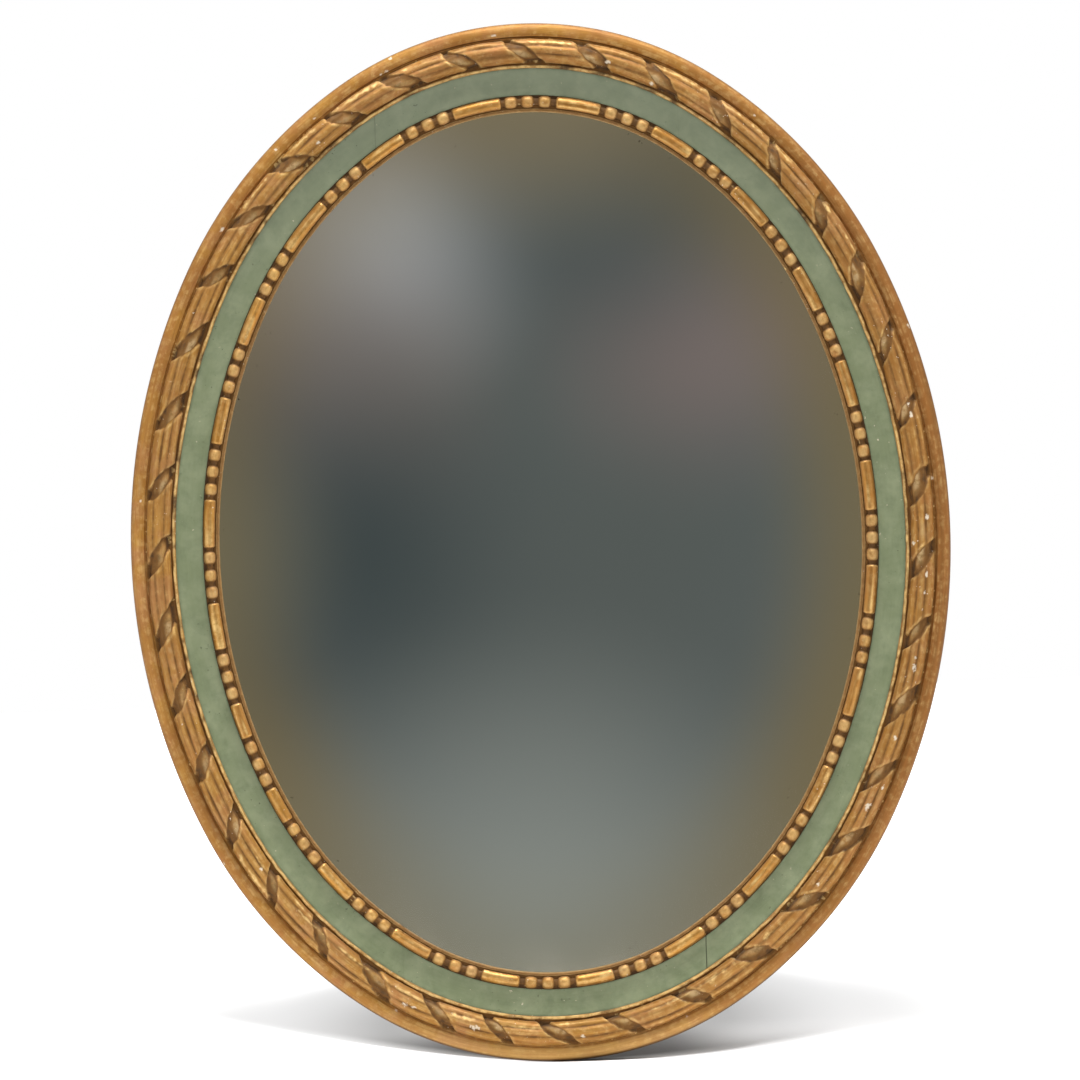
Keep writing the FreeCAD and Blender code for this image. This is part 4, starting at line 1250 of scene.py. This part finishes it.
@made_once
def gilding():
    """Toned water gilding over bole and gesso, rubbed on its edges and dark in its hollows."""
    finish = setting("finish")
    material, graph, shader = new_material("gilding")
    run, at = graph.named("run", vector=True), graph.places()
    hollow, raised, ribbon, chip, plain, burnished = (graph.named(name) for name in (
        "hollow", "raised", "ribbon", "chip", "plain", "burnished"))
    carved = graph.rest(plain)

    # Leaf with its toning, painted shade on the right side and at the top, and painted light on the
    # rim's bottom
    brushed = graph.streaks(run, (45, 900, 900))
    patches = graph.mottle(at, 190.0, 0.42, 0.68)
    ochre = graph.mottle(graph.stretched(at, (1, 1, 1), (3.1, 0, 1.7)), 55.0, 0.45, 0.65)
    pink = graph.mottle(graph.stretched(at, (1, 1, 1), (1.3, 0, 4.2)), 33.0, 0.46, 0.64)
    toning_and_right_shade = graph.step(graph.axis(at, "X"), 0.02, 0.30)
    painted_top_shade = graph.step(graph.axis(at, "Z"), 0.28, 0.37, 0.0, 0.45)
    painted_bottom_light = graph.step(graph.axis(at, "Z"), -0.38, -0.33, 0.3, 0.0)
    fewer = graph.times(plain, graph.minus(0.2, graph.times(toning_and_right_shade, 0.3)))
    colour = graph.layered(
        finish.leaf,
        (graph.times(ochre, 0.6), finish.leaf_ochre),
        (graph.times(pink, 0.75), finish.leaf_pink),
        (graph.named("red"), finish.bole),
        (graph.times(burnished, 0.6), finish.leaf_orange),
        (graph.times(graph.mottle(at, 26.0, 0.38, 0.66),
                     graph.plus(0.35, graph.times(plain, 0.25))), finish.leaf_dark),
        (graph.times(toning_and_right_shade, graph.plus(0.42, graph.times(plain, 0.56))), finish.leaf_dark),
        (graph.times(painted_top_shade, carved), finish.leaf_dark),
        (graph.times(painted_bottom_light, plain), finish.leaf_rubbed_and_highlight),
        (graph.times(brushed, 0.42), finish.leaf_dark),
        (graph.times(graph.streaks(run, (9, 420, 420)), graph.times(patches, 0.42)),
         finish.leaf_rubbed_and_highlight),
        (graph.times(graph.streaks(run, (13, 330, 330), (5, 0, 0)), graph.minus(0.42, fewer)),
         finish.valley),
    )

    # Dull ribbons, dirt and painted shade in the hollows, rubbed edges and painted highlights, chips
    # down to the gesso, and painted shade under the rim
    broken = graph.step(graph.noise(at, 150.0, 3.0, 0.6), 0.35, 0.62, 1.0, 0.4)
    dusty = graph.step(graph.noise(at, 240.0, 4.0, 0.6), 0.35, 0.6, 0.1, 1.0)
    uneven = graph.step(graph.noise(at, 220.0, 4.0, 0.6), 0.25, 0.6, 0.6, 1.1)
    grime_and_shade = graph.times(hollow, uneven, clamp=True)
    wear = graph.times(graph.wear(at, 210.0, 0.72, raised), graph.rest(grime_and_shade))
    bare = graph.most(graph.times(graph.specks(at, 520.0, 0.71), carved), chip)
    # Painted shade on the rim where it faces down
    shade_beneath = graph.step(graph.axis(graph.normal(), "Z"), -0.9, -0.5, 0.85, 0.0)
    colour = graph.layered(
        colour,
        (graph.times(graph.step(ribbon, 0.0, 0.35), broken), finish.ribbon_shade),
        (graph.times(graph.step(ribbon, 0.3, 0.9), dusty), finish.ribbon_tone),
        (graph.times(graph.named("worn"), 0.5), finish.ribbon_tone),
        (graph.step(grime_and_shade, 0.0, 0.5), finish.valley),
        (graph.step(grime_and_shade, 0.45, 1.0), finish.grime_and_shade),
        (wear, finish.leaf_rubbed_and_highlight),
        (bare, finish.gesso),
        (graph.dust(at, 0.12), finish.gilt_dust),
        (graph.times(shade_beneath, plain), finish.grime_and_shade),
    )
    graph.put(colour, shader.inputs["Base Color"])

    dull = graph.most(grime_and_shade, bare, graph.step(ribbon, 0.0, 0.4))
    shine = graph.times(burnished, graph.step(dull, 0.0, 0.6, 1.0, 0.0))
    graph.put(graph.plus(graph.step(dull, 0.0, 1.0, 0.3, 0.0), graph.times(shine, 0.2)),
              shader.inputs["Metallic"])
    rough = graph.plus(graph.times(patches, 0.12), graph.step(dull, 0.0, 1.0, 0.5, 0.68))
    graph.put(graph.minus(rough, graph.times(shine, 0.16)), shader.inputs["Roughness"])
    shader.inputs["Specular IOR Level"].default_value = 0.2
    height = graph.plus(graph.times(brushed, 0.5), graph.times(graph.noise(at, 700.0, 4.0, 0.6), 0.8))
    height = graph.minus(height, graph.times(bare, 0.8))
    graph.put(graph.bump(height, 0.35, 0.25 * MM), shader.inputs["Normal"])
    return material


@made_once
def frieze_paint():
    """Old sage green paint, mottled by the brush, cooler at the top and dark along its edges."""
    finish = setting("finish")
    material, graph, shader = new_material("frieze_paint")
    run, at = graph.named("run", vector=True), graph.places()
    patches = graph.mottle(at, 95.0, 0.4, 0.72)
    streaks = graph.streaks(run, (30, 520, 520))
    dirt = graph.step(graph.noise(at, 150.0, 4.0, 0.6), 0.3, 0.65, 0.15, 0.9)
    pale = graph.specks(graph.stretched(at, (1, 1, 1), (2.3, 0, 5.1)), 380.0, 0.73)
    colour = graph.layered(
        finish.frieze,
        (graph.times(graph.mottle(at, 42.0, 0.36, 0.7), 0.6), finish.frieze_light),
        (graph.times(patches, 0.36), finish.frieze_dark),
        (graph.times(streaks, 0.12), finish.frieze_light),
        (graph.step(graph.axis(at, "Z"), 0.1, 0.33, 0.0, 0.38), finish.frieze_cool),
        # Dirt and painted shade along the fillet and the beads
        (graph.times(graph.named("hollow"), dirt), finish.frieze_dark),
        (graph.times(graph.specks(at, 420.0, 0.70), 0.75), finish.frieze_speck),
        (graph.times(pale, 0.8), finish.gesso),
        (graph.named("crack"), finish.joint_line),
    )
    graph.put(colour, shader.inputs["Base Color"])
    graph.put(graph.step(patches, 0.0, 1.0, 0.48, 0.62), shader.inputs["Roughness"])
    height = graph.plus(graph.times(streaks, 0.6), graph.noise(at, 600.0, 4.0, 0.6))
    graph.put(graph.bump(height, 0.3, 0.15 * MM), shader.inputs["Normal"])
    return material


def timber(name, light, dark, stretch, roughness=0.7, dust=0.3):
    """Aged timber with its grain along the direction that the stretch makes longest."""
    finish = setting("finish")
    material, graph, shader = new_material(name)
    at = graph.places()
    grain = graph.group("Timber grain", vector=graph.stretched(at, stretch), coarse=1.0, fine=9.0)
    colour = graph.layered(
        light,
        (grain["Figure"], dark),
        (graph.times(graph.mottle(at, 9.0, 0.42, 0.75), 0.45), dark),
        (graph.times(graph.specks(at, 300.0, 0.68), 0.7), finish.timber_speck),
        (graph.dust(at, dust), finish.timber_dust),
        (graph.wear(at, 160.0, 0.5), light),
    )
    graph.put(colour, shader.inputs["Base Color"])
    graph.put(graph.step(grain["Figure"], 0.0, 1.0, roughness, roughness + 0.14),
              shader.inputs["Roughness"])
    graph.put(graph.bump(grain["Height"], 0.5, 0.25 * MM), shader.inputs["Normal"])
    return material


@made_once
def rail_timber():
    """Core timber with its grain across, for the top and bottom rails."""
    finish = setting("finish")
    return timber("rail_timber", finish.timber, finish.timber_dark, (5, 60, 60))


@made_once
def stile_timber():
    """Core timber with its grain upright, for the two stiles."""
    finish = setting("finish")
    return timber("stile_timber", finish.timber, finish.timber_dark, (60, 60, 5))


@made_once
def board_timber():
    """Softwood boards with upright grain."""
    finish = setting("finish")
    return timber("board_timber", finish.board, finish.board_dark, (48, 60, 3.2), 0.72, 0.2)


@made_once
def pale_board_timber():
    """The middle board, cut from paler softwood with wider grain."""
    finish = setting("finish")
    return timber("pale_board_timber", finish.board_pale, finish.board_dark, (34, 60, 2.4), 0.74,
                  0.2)


@made_once
def side_wash():
    """Ochre wash over gesso on the outer side of the frame."""
    finish = setting("finish")
    material, graph, shader = new_material("side_wash")
    at = graph.places()
    streaks = graph.streaks(graph.named("run", vector=True), (18, 260, 260))
    clouds = graph.mottle(at, 38.0, 0.4, 0.7)
    colour = graph.layered(
        finish.side_wash,
        (graph.times(streaks, 0.55), finish.leaf_dark),
        (graph.times(clouds, 0.35), finish.timber_dark),
        (graph.times(graph.specks(at, 260.0, 0.66), 0.85), finish.gesso),
        (graph.wear(at, 120.0, 0.7), finish.gesso),
        (graph.dust(at, 0.4), finish.side_dust),
    )
    graph.put(colour, shader.inputs["Base Color"])
    graph.put(graph.step(clouds, 0.0, 1.0, 0.6, 0.78), shader.inputs["Roughness"])
    height = graph.plus(streaks, graph.noise(at, 500.0, 4.0, 0.6))
    graph.put(graph.bump(height, 0.45, 0.2 * MM), shader.inputs["Normal"])
    return material


@made_once
def silvered_glass():
    """Silvered plate, warm and a little dull towards its edge, with its back painted."""
    finish = setting("finish")
    material, graph, shader = new_material("silvered_glass")
    at = graph.places()
    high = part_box("mirror_plate")[1]
    u = graph.math("DIVIDE", graph.axis(at, "X"), high.x)
    v = graph.math("DIVIDE", graph.axis(at, "Z"), high.z)
    out = graph.math("SQRT", graph.plus(graph.times(u, u), graph.times(v, v)))
    aged = graph.step(graph.plus(out, graph.times(graph.noise(at, 9.0), 0.05)), 0.70, 1.03)
    foxed = graph.times(graph.specks(at, 240.0, 0.70), graph.step(out, 0.9, 1.0))
    painted = graph.step(graph.axis(graph.normal(), "Y"), -0.6, -0.4)
    colour = graph.layered(
        finish.silver,
        (graph.times(aged, 0.75), finish.silver_aged),
        (foxed, finish.foxing),
        (painted, finish.backing),
    )
    graph.put(colour, shader.inputs["Base Color"])
    graph.put(graph.rest(painted), shader.inputs["Metallic"])
    smear = graph.plus(graph.mottle(at, 14.0, 0.4, 0.8), aged)
    smear = graph.step(smear, 0.0, 2.0, 0.035, 0.10)
    graph.put(graph.plus(smear, graph.times(painted, 0.5)), shader.inputs["Roughness"])
    return material


def metal(name, clean, amount, bump=0.12):
    """Old metal with tarnish, fine scratches and bright worn edges."""
    finish = setting("finish")
    material, graph, shader = new_material(name)
    at = graph.places()
    tarnish = graph.group("Metal tarnish", vector=at, clean=clean, tarnished=finish.tarnish,
                          amount=amount)
    bright = tuple(min(1.0, part * 1.35) for part in clean)
    colour = graph.layered(
        tarnish["Color"],
        (graph.wear(at, 500.0, 0.6), bright),
        (graph.dust(at, 0.3), finish.metal_dust),
    )
    graph.put(colour, shader.inputs["Base Color"])
    graph.put(tarnish["Roughness"], shader.inputs["Roughness"])
    shader.inputs["Metallic"].default_value = 1.0
    scratched = graph.noise(graph.stretched(at, (60, 60, 1400)), 1.0, 4.0, 0.7)
    graph.put(graph.bump(graph.plus(tarnish["Height"], scratched), bump, 0.1 * MM),
              shader.inputs["Normal"])
    return material


@made_once
def brass():
    """Brass of the turn buttons."""
    return metal("brass", setting("finish").brass, 0.85)


@made_once
def screw_steel():
    """Steel of the screws."""
    return metal("screw_steel", setting("finish").steel, 0.75, 0.2)


@made_once
def hanger_metal():
    """Plated steel of the strap hangers and rings."""
    return metal("hanger_metal", setting("finish").hanger, 0.65)


@made_once
def bumper_rubber():
    """Dull black rubber with dust."""
    finish = setting("finish")
    material, graph, shader = new_material("bumper_rubber")
    at = graph.places()
    clouds = graph.mottle(at, 120.0, 0.35, 0.7)
    colour = graph.layered(
        finish.rubber,
        (graph.times(clouds, 0.5), finish.rubber_grey),
        (graph.wear(at, 400.0, 0.5), finish.rubber_edge),
        (graph.dust(at, 0.5), finish.rubber_dust),
    )
    graph.put(colour, shader.inputs["Base Color"])
    graph.put(graph.step(clouds, 0.0, 1.0, 0.7, 0.85), shader.inputs["Roughness"])
    graph.put(graph.bump(graph.noise(at, 1800.0), 0.3, 0.08 * MM), shader.inputs["Normal"])
    return material


# Pieces

def dressed(node, material, bevel=0.0, segments=2):
    """Gives a packed node its finish, eased edges and smooth shading."""
    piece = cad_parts[node]
    piece.data.materials.clear()
    piece.data.materials.append(material)
    piece.data.shade_smooth()
    piece.data.set_sharp_from_angle(angle=math.radians(35))
    if bevel:
        ease = piece.modifiers.new("eased_edges", "BEVEL")
        ease.width = bevel
        ease.segments = segments
        ease.limit_method = "ANGLE"
        ease.angle_limit = math.radians(40)
        ease.harden_normals = True
    return piece


def placed(piece, node):
    """Sets a swept length in the place of the node that it stands for."""
    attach(piece, "frame")
    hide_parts(node)
    return piece


class ReededMoulding(Operator):
    """Carve the rim, the ribbon-and-reed band and the fillet"""
    bl_idname = "oval_mirror.reeded_moulding"
    bl_label = "Reeded moulding"

    def execute(self, context):
        oval = Oval()
        section = ReededSection(oval)
        for quarter in QUARTERS:
            low, high = span_of(oval, quarter, section.centre)
            count = int(math.ceil((high - low) / setting("reeded").row)) + 1
            piece = swept_length(f"carved_reeds_{quarter}", quarter, oval, section,
                                 np.linspace(low, high, count), [gilding()])
            placed(piece, f"reeded_moulding_{quarter}")
        return {"FINISHED"}


class BeadedMoulding(Operator):
    """Carve the beads, the reels and the sight lip"""
    bl_idname = "oval_mirror.beaded_moulding"
    bl_label = "Beaded moulding"

    def execute(self, context):
        oval = Oval()
        section = BeadedSection(oval)
        for quarter in QUARTERS:
            low, high = span_of(oval, quarter, section.centre)
            inside = section.rows[(section.rows > low + 0.3 * MM)
                                  & (section.rows < high - 0.3 * MM)]
            apart = np.concatenate([[True], np.diff(inside) > 0.02 * MM])
            piece = swept_length(f"carved_beads_{quarter}", quarter, oval, section,
                                 np.concatenate([[low], inside[apart], [high]]), [gilding()])
            placed(piece, f"beaded_moulding_{quarter}")
        return {"FINISHED"}


class PaintedCore(Operator):
    """Make the four lengths of the core with their painted frieze"""
    bl_idname = "oval_mirror.painted_core"
    bl_label = "Painted core"

    def execute(self, context):
        oval = Oval()
        section = CoreSection(oval)
        # Rows crowd at both ends, so that the hairline of a joint shows
        ends = np.array([0.0, 0.28, 0.56, 0.9, 1.5]) * MM
        clear, row = 2.5 * MM, 1.6 * MM
        for quarter in QUARTERS:
            low, high = span_of(oval, quarter, section.centre)
            middle = np.linspace(low + clear, high - clear, int((high - low) / row))
            rows = np.concatenate([low + ends, middle, (high - ends)[::-1]])
            timber_back = rail_timber() if quarter in ("top", "bottom") else stile_timber()
            piece = swept_length(f"painted_core_{quarter}", quarter, oval, section, rows,
                                 [frieze_paint(), timber_back, side_wash()])
            placed(piece, f"frame_core_{quarter}")
        return {"FINISHED"}


class MirrorPlate(Operator):
    """Finish the silvered plate"""
    bl_idname = "oval_mirror.mirror_plate"
    bl_label = "Mirror plate"

    def execute(self, context):
        dressed("mirror_plate", silvered_glass())
        return {"FINISHED"}


class BackBoards(Operator):
    """Finish the back boards, the glazing blocks and the joint tongues"""
    bl_idname = "oval_mirror.back_boards"
    bl_label = "Back boards"

    def execute(self, context):
        for node in sorted(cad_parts):
            if node.startswith("back_board"):
                low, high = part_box(node)
                in_middle = low.x < 0 < high.x
                dressed(node, pale_board_timber() if in_middle else board_timber(), 0.8 * MM)
            if node.startswith("joint_tongue") or node == "glazing_blocks":
                dressed(node, stile_timber(), 0.25 * MM)
        return {"FINISHED"}


class Hardware(Operator):
    """Finish the turn buttons, screws, hangers, rings and bumpers"""
    bl_idname = "oval_mirror.hardware"
    bl_label = "Hardware"

    def execute(self, context):
        finishes = (("turn_button_screws", screw_steel, 0.12 * MM),
                    ("hanger_screws", screw_steel, 0.12 * MM),
                    ("turn_button", brass, 0.3 * MM),
                    ("strap_hanger", hanger_metal, 0.2 * MM),
                    ("hanging_ring", hanger_metal, 0.0),
                    ("wall_bumper", bumper_rubber, 0.25 * MM))
        for node in sorted(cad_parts):
            for start, finish, bevel in finishes:
                if node.startswith(start):
                    dressed(node, finish(), bevel)
                    break
        return {"FINISHED"}


# Stage

# Soft patches of the dim room in the glass: right, up, size in metres, their light and amount
ROOM = (
    (-0.105, 0.215, 0.080, (0.36, 0.37, 0.38), 0.9),
    (-0.135, 0.120, 0.085, (0.20, 0.165, 0.15), 0.75),
    (0.110, 0.130, 0.075, (0.24, 0.18, 0.17), 0.8),
    (-0.135, 0.000, 0.115, (0.048, 0.062, 0.064), 0.9),
    (0.050, 0.230, 0.095, (0.080, 0.092, 0.092), 0.8),
    (0.070, 0.000, 0.110, (0.092, 0.105, 0.100), 0.7),
    (-0.010, -0.275, 0.140, (0.27, 0.29, 0.27), 0.85),
    (0.020, 0.345, 0.085, (0.25, 0.22, 0.155), 0.7),
    (-0.255, 0.000, 0.075, (0.23, 0.205, 0.135), 0.5),
)


class StudioStage(Operator):
    """Set up the floor, the lights and the camera"""
    bl_idname = "oval_mirror.studio_stage"
    bl_label = "Studio stage"

    def execute(self, context):
        stage = setting("stage")
        low = cad_box[0]
        self.floor(stage, low.z - 0.3 * MM)
        self.room(stage)
        self.lamp(context, stage)
        self.sky(context, stage)
        self.camera(context, stage, low.y)
        context.scene.view_settings.view_transform = "Standard"
        return {"FINISHED"}

    def sheet(self, name, corners, material):
        """One flat face with four corners."""
        mesh = bpy.data.meshes.new(name)
        mesh.from_pydata(corners, [], [(0, 1, 2, 3)])
        mesh.materials.append(material)
        sheet = bpy.data.objects.new(name, mesh)
        bpy.context.scene.collection.objects.link(sheet)
        return sheet

    def drawn_shadow(self, graph):
        """Mask of the shadow, which starts on a line that curves away from the foot."""
        at = graph.places()
        x, y = graph.axis(at, "X"), graph.axis(at, "Y")
        sideways = graph.math("ABSOLUTE", x)
        line = graph.size_of(graph.stretched(at, (1.765, 0, 0), (0, 0.14, 0)))
        past = graph.plus(graph.minus(y, line), graph.times(x, 0.685))
        shadow = graph.step(past, -0.18, graph.minus(graph.times(sideways, 0.7), 0.15))
        fading = graph.plus(graph.step(sideways, 0.04, 0.24, 0.66, 0.0),
                            graph.step(sideways, 0.15, 0.5, 0.31, 0.0), clamp=True)
        ending = graph.step(y, 0.5, 1.6, 1.0, 0.0)
        # The lamp reaches the floor on the right, and the hidden middle is softer
        lit = graph.times(graph.step(x, 0.08, 0.16, 0.0, 0.6), graph.step(y, 0.1, 0.45, 1.0, 0.0))
        softer = graph.times(graph.step(sideways, 0.08, 0.14, 0.4, 0.0), graph.step(y, 0.2, 0.5))
        for part in (fading, ending, graph.rest(lit), graph.rest(softer)):
            shadow = graph.times(shadow, part)
        return shadow

    def floor(self, stage, height):
        """Pale floor that is white to the camera but for its shadow."""
        material, graph, shader = new_material("studio_floor")
        shader.inputs["Roughness"].default_value = 0.9
        shader.inputs["Specular IOR Level"].default_value = 0.1
        shader.inputs["Emission Color"].default_value = (1.0, 1.0, 1.0, 1.0)
        shadow = self.drawn_shadow(graph)
        graph.put(graph.mix(shadow, stage.floor, stage.painted_floor_shadow), shader.inputs["Base Color"])
        clear = graph.step(shadow, 0.0, 0.3, 1.0, 0.0)
        glow = graph.times(graph.times(clear, clear), 0.9)
        graph.put(graph.times(graph.seen(), glow), shader.inputs["Emission Strength"])
        half = 14.0
        corners = [(-half, -half, height), (half, -half, height),
                   (half, half, height), (-half, half, height)]
        floor = self.sheet("studio_floor", corners, material)

    def room(self, stage):
        """Dim card behind the camera that only the glass and the metal see."""
        y = -stage.room_distance
        grown = 1 + stage.room_distance / stage.camera_distance
        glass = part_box("mirror_plate")[1]
        material = bpy.data.materials.new("dim_room")
        material.use_nodes = True
        graph = Graph(material.node_tree)
        graph.tree.nodes.clear()
        at = graph.places()
        out = graph.size_of(graph.stretched(at, (1 / (glass.x * grown), 0, 1 / (glass.z * grown))))
        colour = graph.mix(graph.step(out, 0.6, 1.0), stage.room_middle, stage.room_edge)
        for x, z, size, light, amount in ROOM:
            apart = graph.add("ShaderNodeVectorMath", operation="DISTANCE")
            graph.put(at, apart.inputs[0])
            apart.inputs[1].default_value = (x * grown, y, z * grown)
            near = graph.step(apart.outputs["Value"], 0.0, size * 1.8 * grown, 1.0, 0.0)
            colour = graph.mix(graph.times(near, amount), colour, light)
        glow = graph.add("ShaderNodeEmission")
        graph.put(colour, glow.inputs["Color"])
        surface = graph.add("ShaderNodeOutputMaterial").inputs["Surface"]
        graph.put(glow.outputs[0], surface)
        half, foot, top = 0.42, cad_box[0].z + 0.5 * MM, 0.50
        corners = [(-half, y, foot), (half, y, foot), (half, y, top), (-half, y, top)]
        card = self.sheet("dim_room", corners, material)
        card.visible_camera = False
        card.visible_diffuse = False
        card.visible_shadow = False
        card.visible_transmission = False
        card.visible_volume_scatter = False

    def lamp(self, context, stage):
        """Soft lamp above, a little in front of the frame."""
        lamp = bpy.data.lights.new("soft_lamp", "AREA")
        lamp.shape = "RECTANGLE"
        lamp.size, lamp.size_y = 1.0, 0.7
        lamp.energy = stage.key_strength
        holder = bpy.data.objects.new("soft_lamp", lamp)
        holder.location = (0.12, -0.6, 2.3)
        to_middle = -holder.location
        holder.rotation_euler = to_middle.to_track_quat("-Z", "Y").to_euler()
        context.scene.collection.objects.link(holder)

    def sky(self, context, stage):
        """Even light that is white where the camera, metal or glass sees it."""
        world = bpy.data.worlds.new("even_sky")
        context.scene.world = world
        world.use_nodes = True
        graph = Graph(world.node_tree)
        sky = world.node_tree.nodes["Background"]
        sky.inputs["Color"].default_value = (1.0, 1.0, 1.0, 1.0)
        through = graph.add("ShaderNodeLightPath").outputs["Is Transmission Ray"]
        direction = graph.add("ShaderNodeTexCoord").outputs["Generated"]
        even = graph.step(graph.axis(direction, "Z"), 0.0, 1.0, stage.sky_low, stage.sky_high)
        graph.put(graph.most(graph.seen(), through, even), sky.inputs["Strength"])

    def camera(self, context, stage, front):
        """Camera that leans, so that the upright frame stands as in the photo."""
        camera = bpy.data.cameras.new("studio_camera")
        camera.sensor_width = 36.0
        camera.lens = camera.sensor_width * (stage.camera_distance + front) / stage.view_width
        camera.clip_end = 100.0
        camera.dof.use_dof = False
        holder = bpy.data.objects.new("studio_camera", camera)
        lean = stage.lean
        right = Vector((math.cos(lean), 0, -math.sin(lean)))
        up = Vector((math.sin(lean), 0, math.cos(lean)))
        back = Vector((0, -1, 0))
        middle = (cad_box[0] + cad_box[1]) / 2
        spot = Vector((middle.x, -stage.camera_distance, middle.z))
        spot += right * stage.aim_right + up * stage.aim_up
        turn_to = Matrix((right, up, back)).transposed().to_4x4()
        holder.matrix_world = Matrix.Translation(spot) @ turn_to
        context.scene.collection.objects.link(holder)
        context.scene.camera = holder


# Panel and registration

class OvalMirrorSettings(PropertyGroup):
    """All that a user may change."""
    plan: PointerProperty(type=OvalPlan)
    reeded: PointerProperty(type=ReededSizes)
    beaded: PointerProperty(type=BeadedSizes)
    finish: PointerProperty(type=MirrorFinish)
    stage: PointerProperty(type=StageSetting)


OPERATORS = (ReededMoulding, BeadedMoulding, PaintedCore, MirrorPlate, BackBoards, Hardware,
             StudioStage)


class OvalMirrorPanel(Panel):
    """Lists the pieces and their sizes and colours."""
    bl_idname = "VIEW3D_PT_oval_mirror"
    bl_label = "Oval Mirror"
    bl_space_type = "VIEW_3D"
    bl_region_type = "UI"
    bl_category = "Oval Mirror"

    def draw(self, context):
        layout = self.layout
        for operator in OPERATORS:
            layout.operator(operator.bl_idname)
        settings = context.scene.oval_mirror
        for name in ("plan", "reeded", "beaded", "finish", "stage"):
            box = layout.box()
            box.label(text=name.capitalize())
            group = getattr(settings, name)
            for key in group.__annotations__:
                box.prop(group, key)


CLASSES = (OvalPlan, ReededSizes, BeadedSizes, MirrorFinish, StageSetting, OvalMirrorSettings,
           *OPERATORS, OvalMirrorPanel)


def register():
    for item in CLASSES:
        bpy.utils.register_class(item)
    bpy.types.Scene.oval_mirror = PointerProperty(type=OvalMirrorSettings)


def unregister():
    del bpy.types.Scene.oval_mirror
    for item in reversed(CLASSES):
        bpy.utils.unregister_class(item)


def main():
    """Makes the pieces in order and writes the sizes of the two models."""
    register()
    bpy.ops.oval_mirror.reeded_moulding()
    bpy.ops.oval_mirror.beaded_moulding()
    bpy.ops.oval_mirror.painted_core()
    bpy.ops.oval_mirror.mirror_plate()
    bpy.ops.oval_mirror.back_boards()
    bpy.ops.oval_mirror.hardware()
    bpy.ops.oval_mirror.studio_stage()


if __name__ == "__main__":
    main()
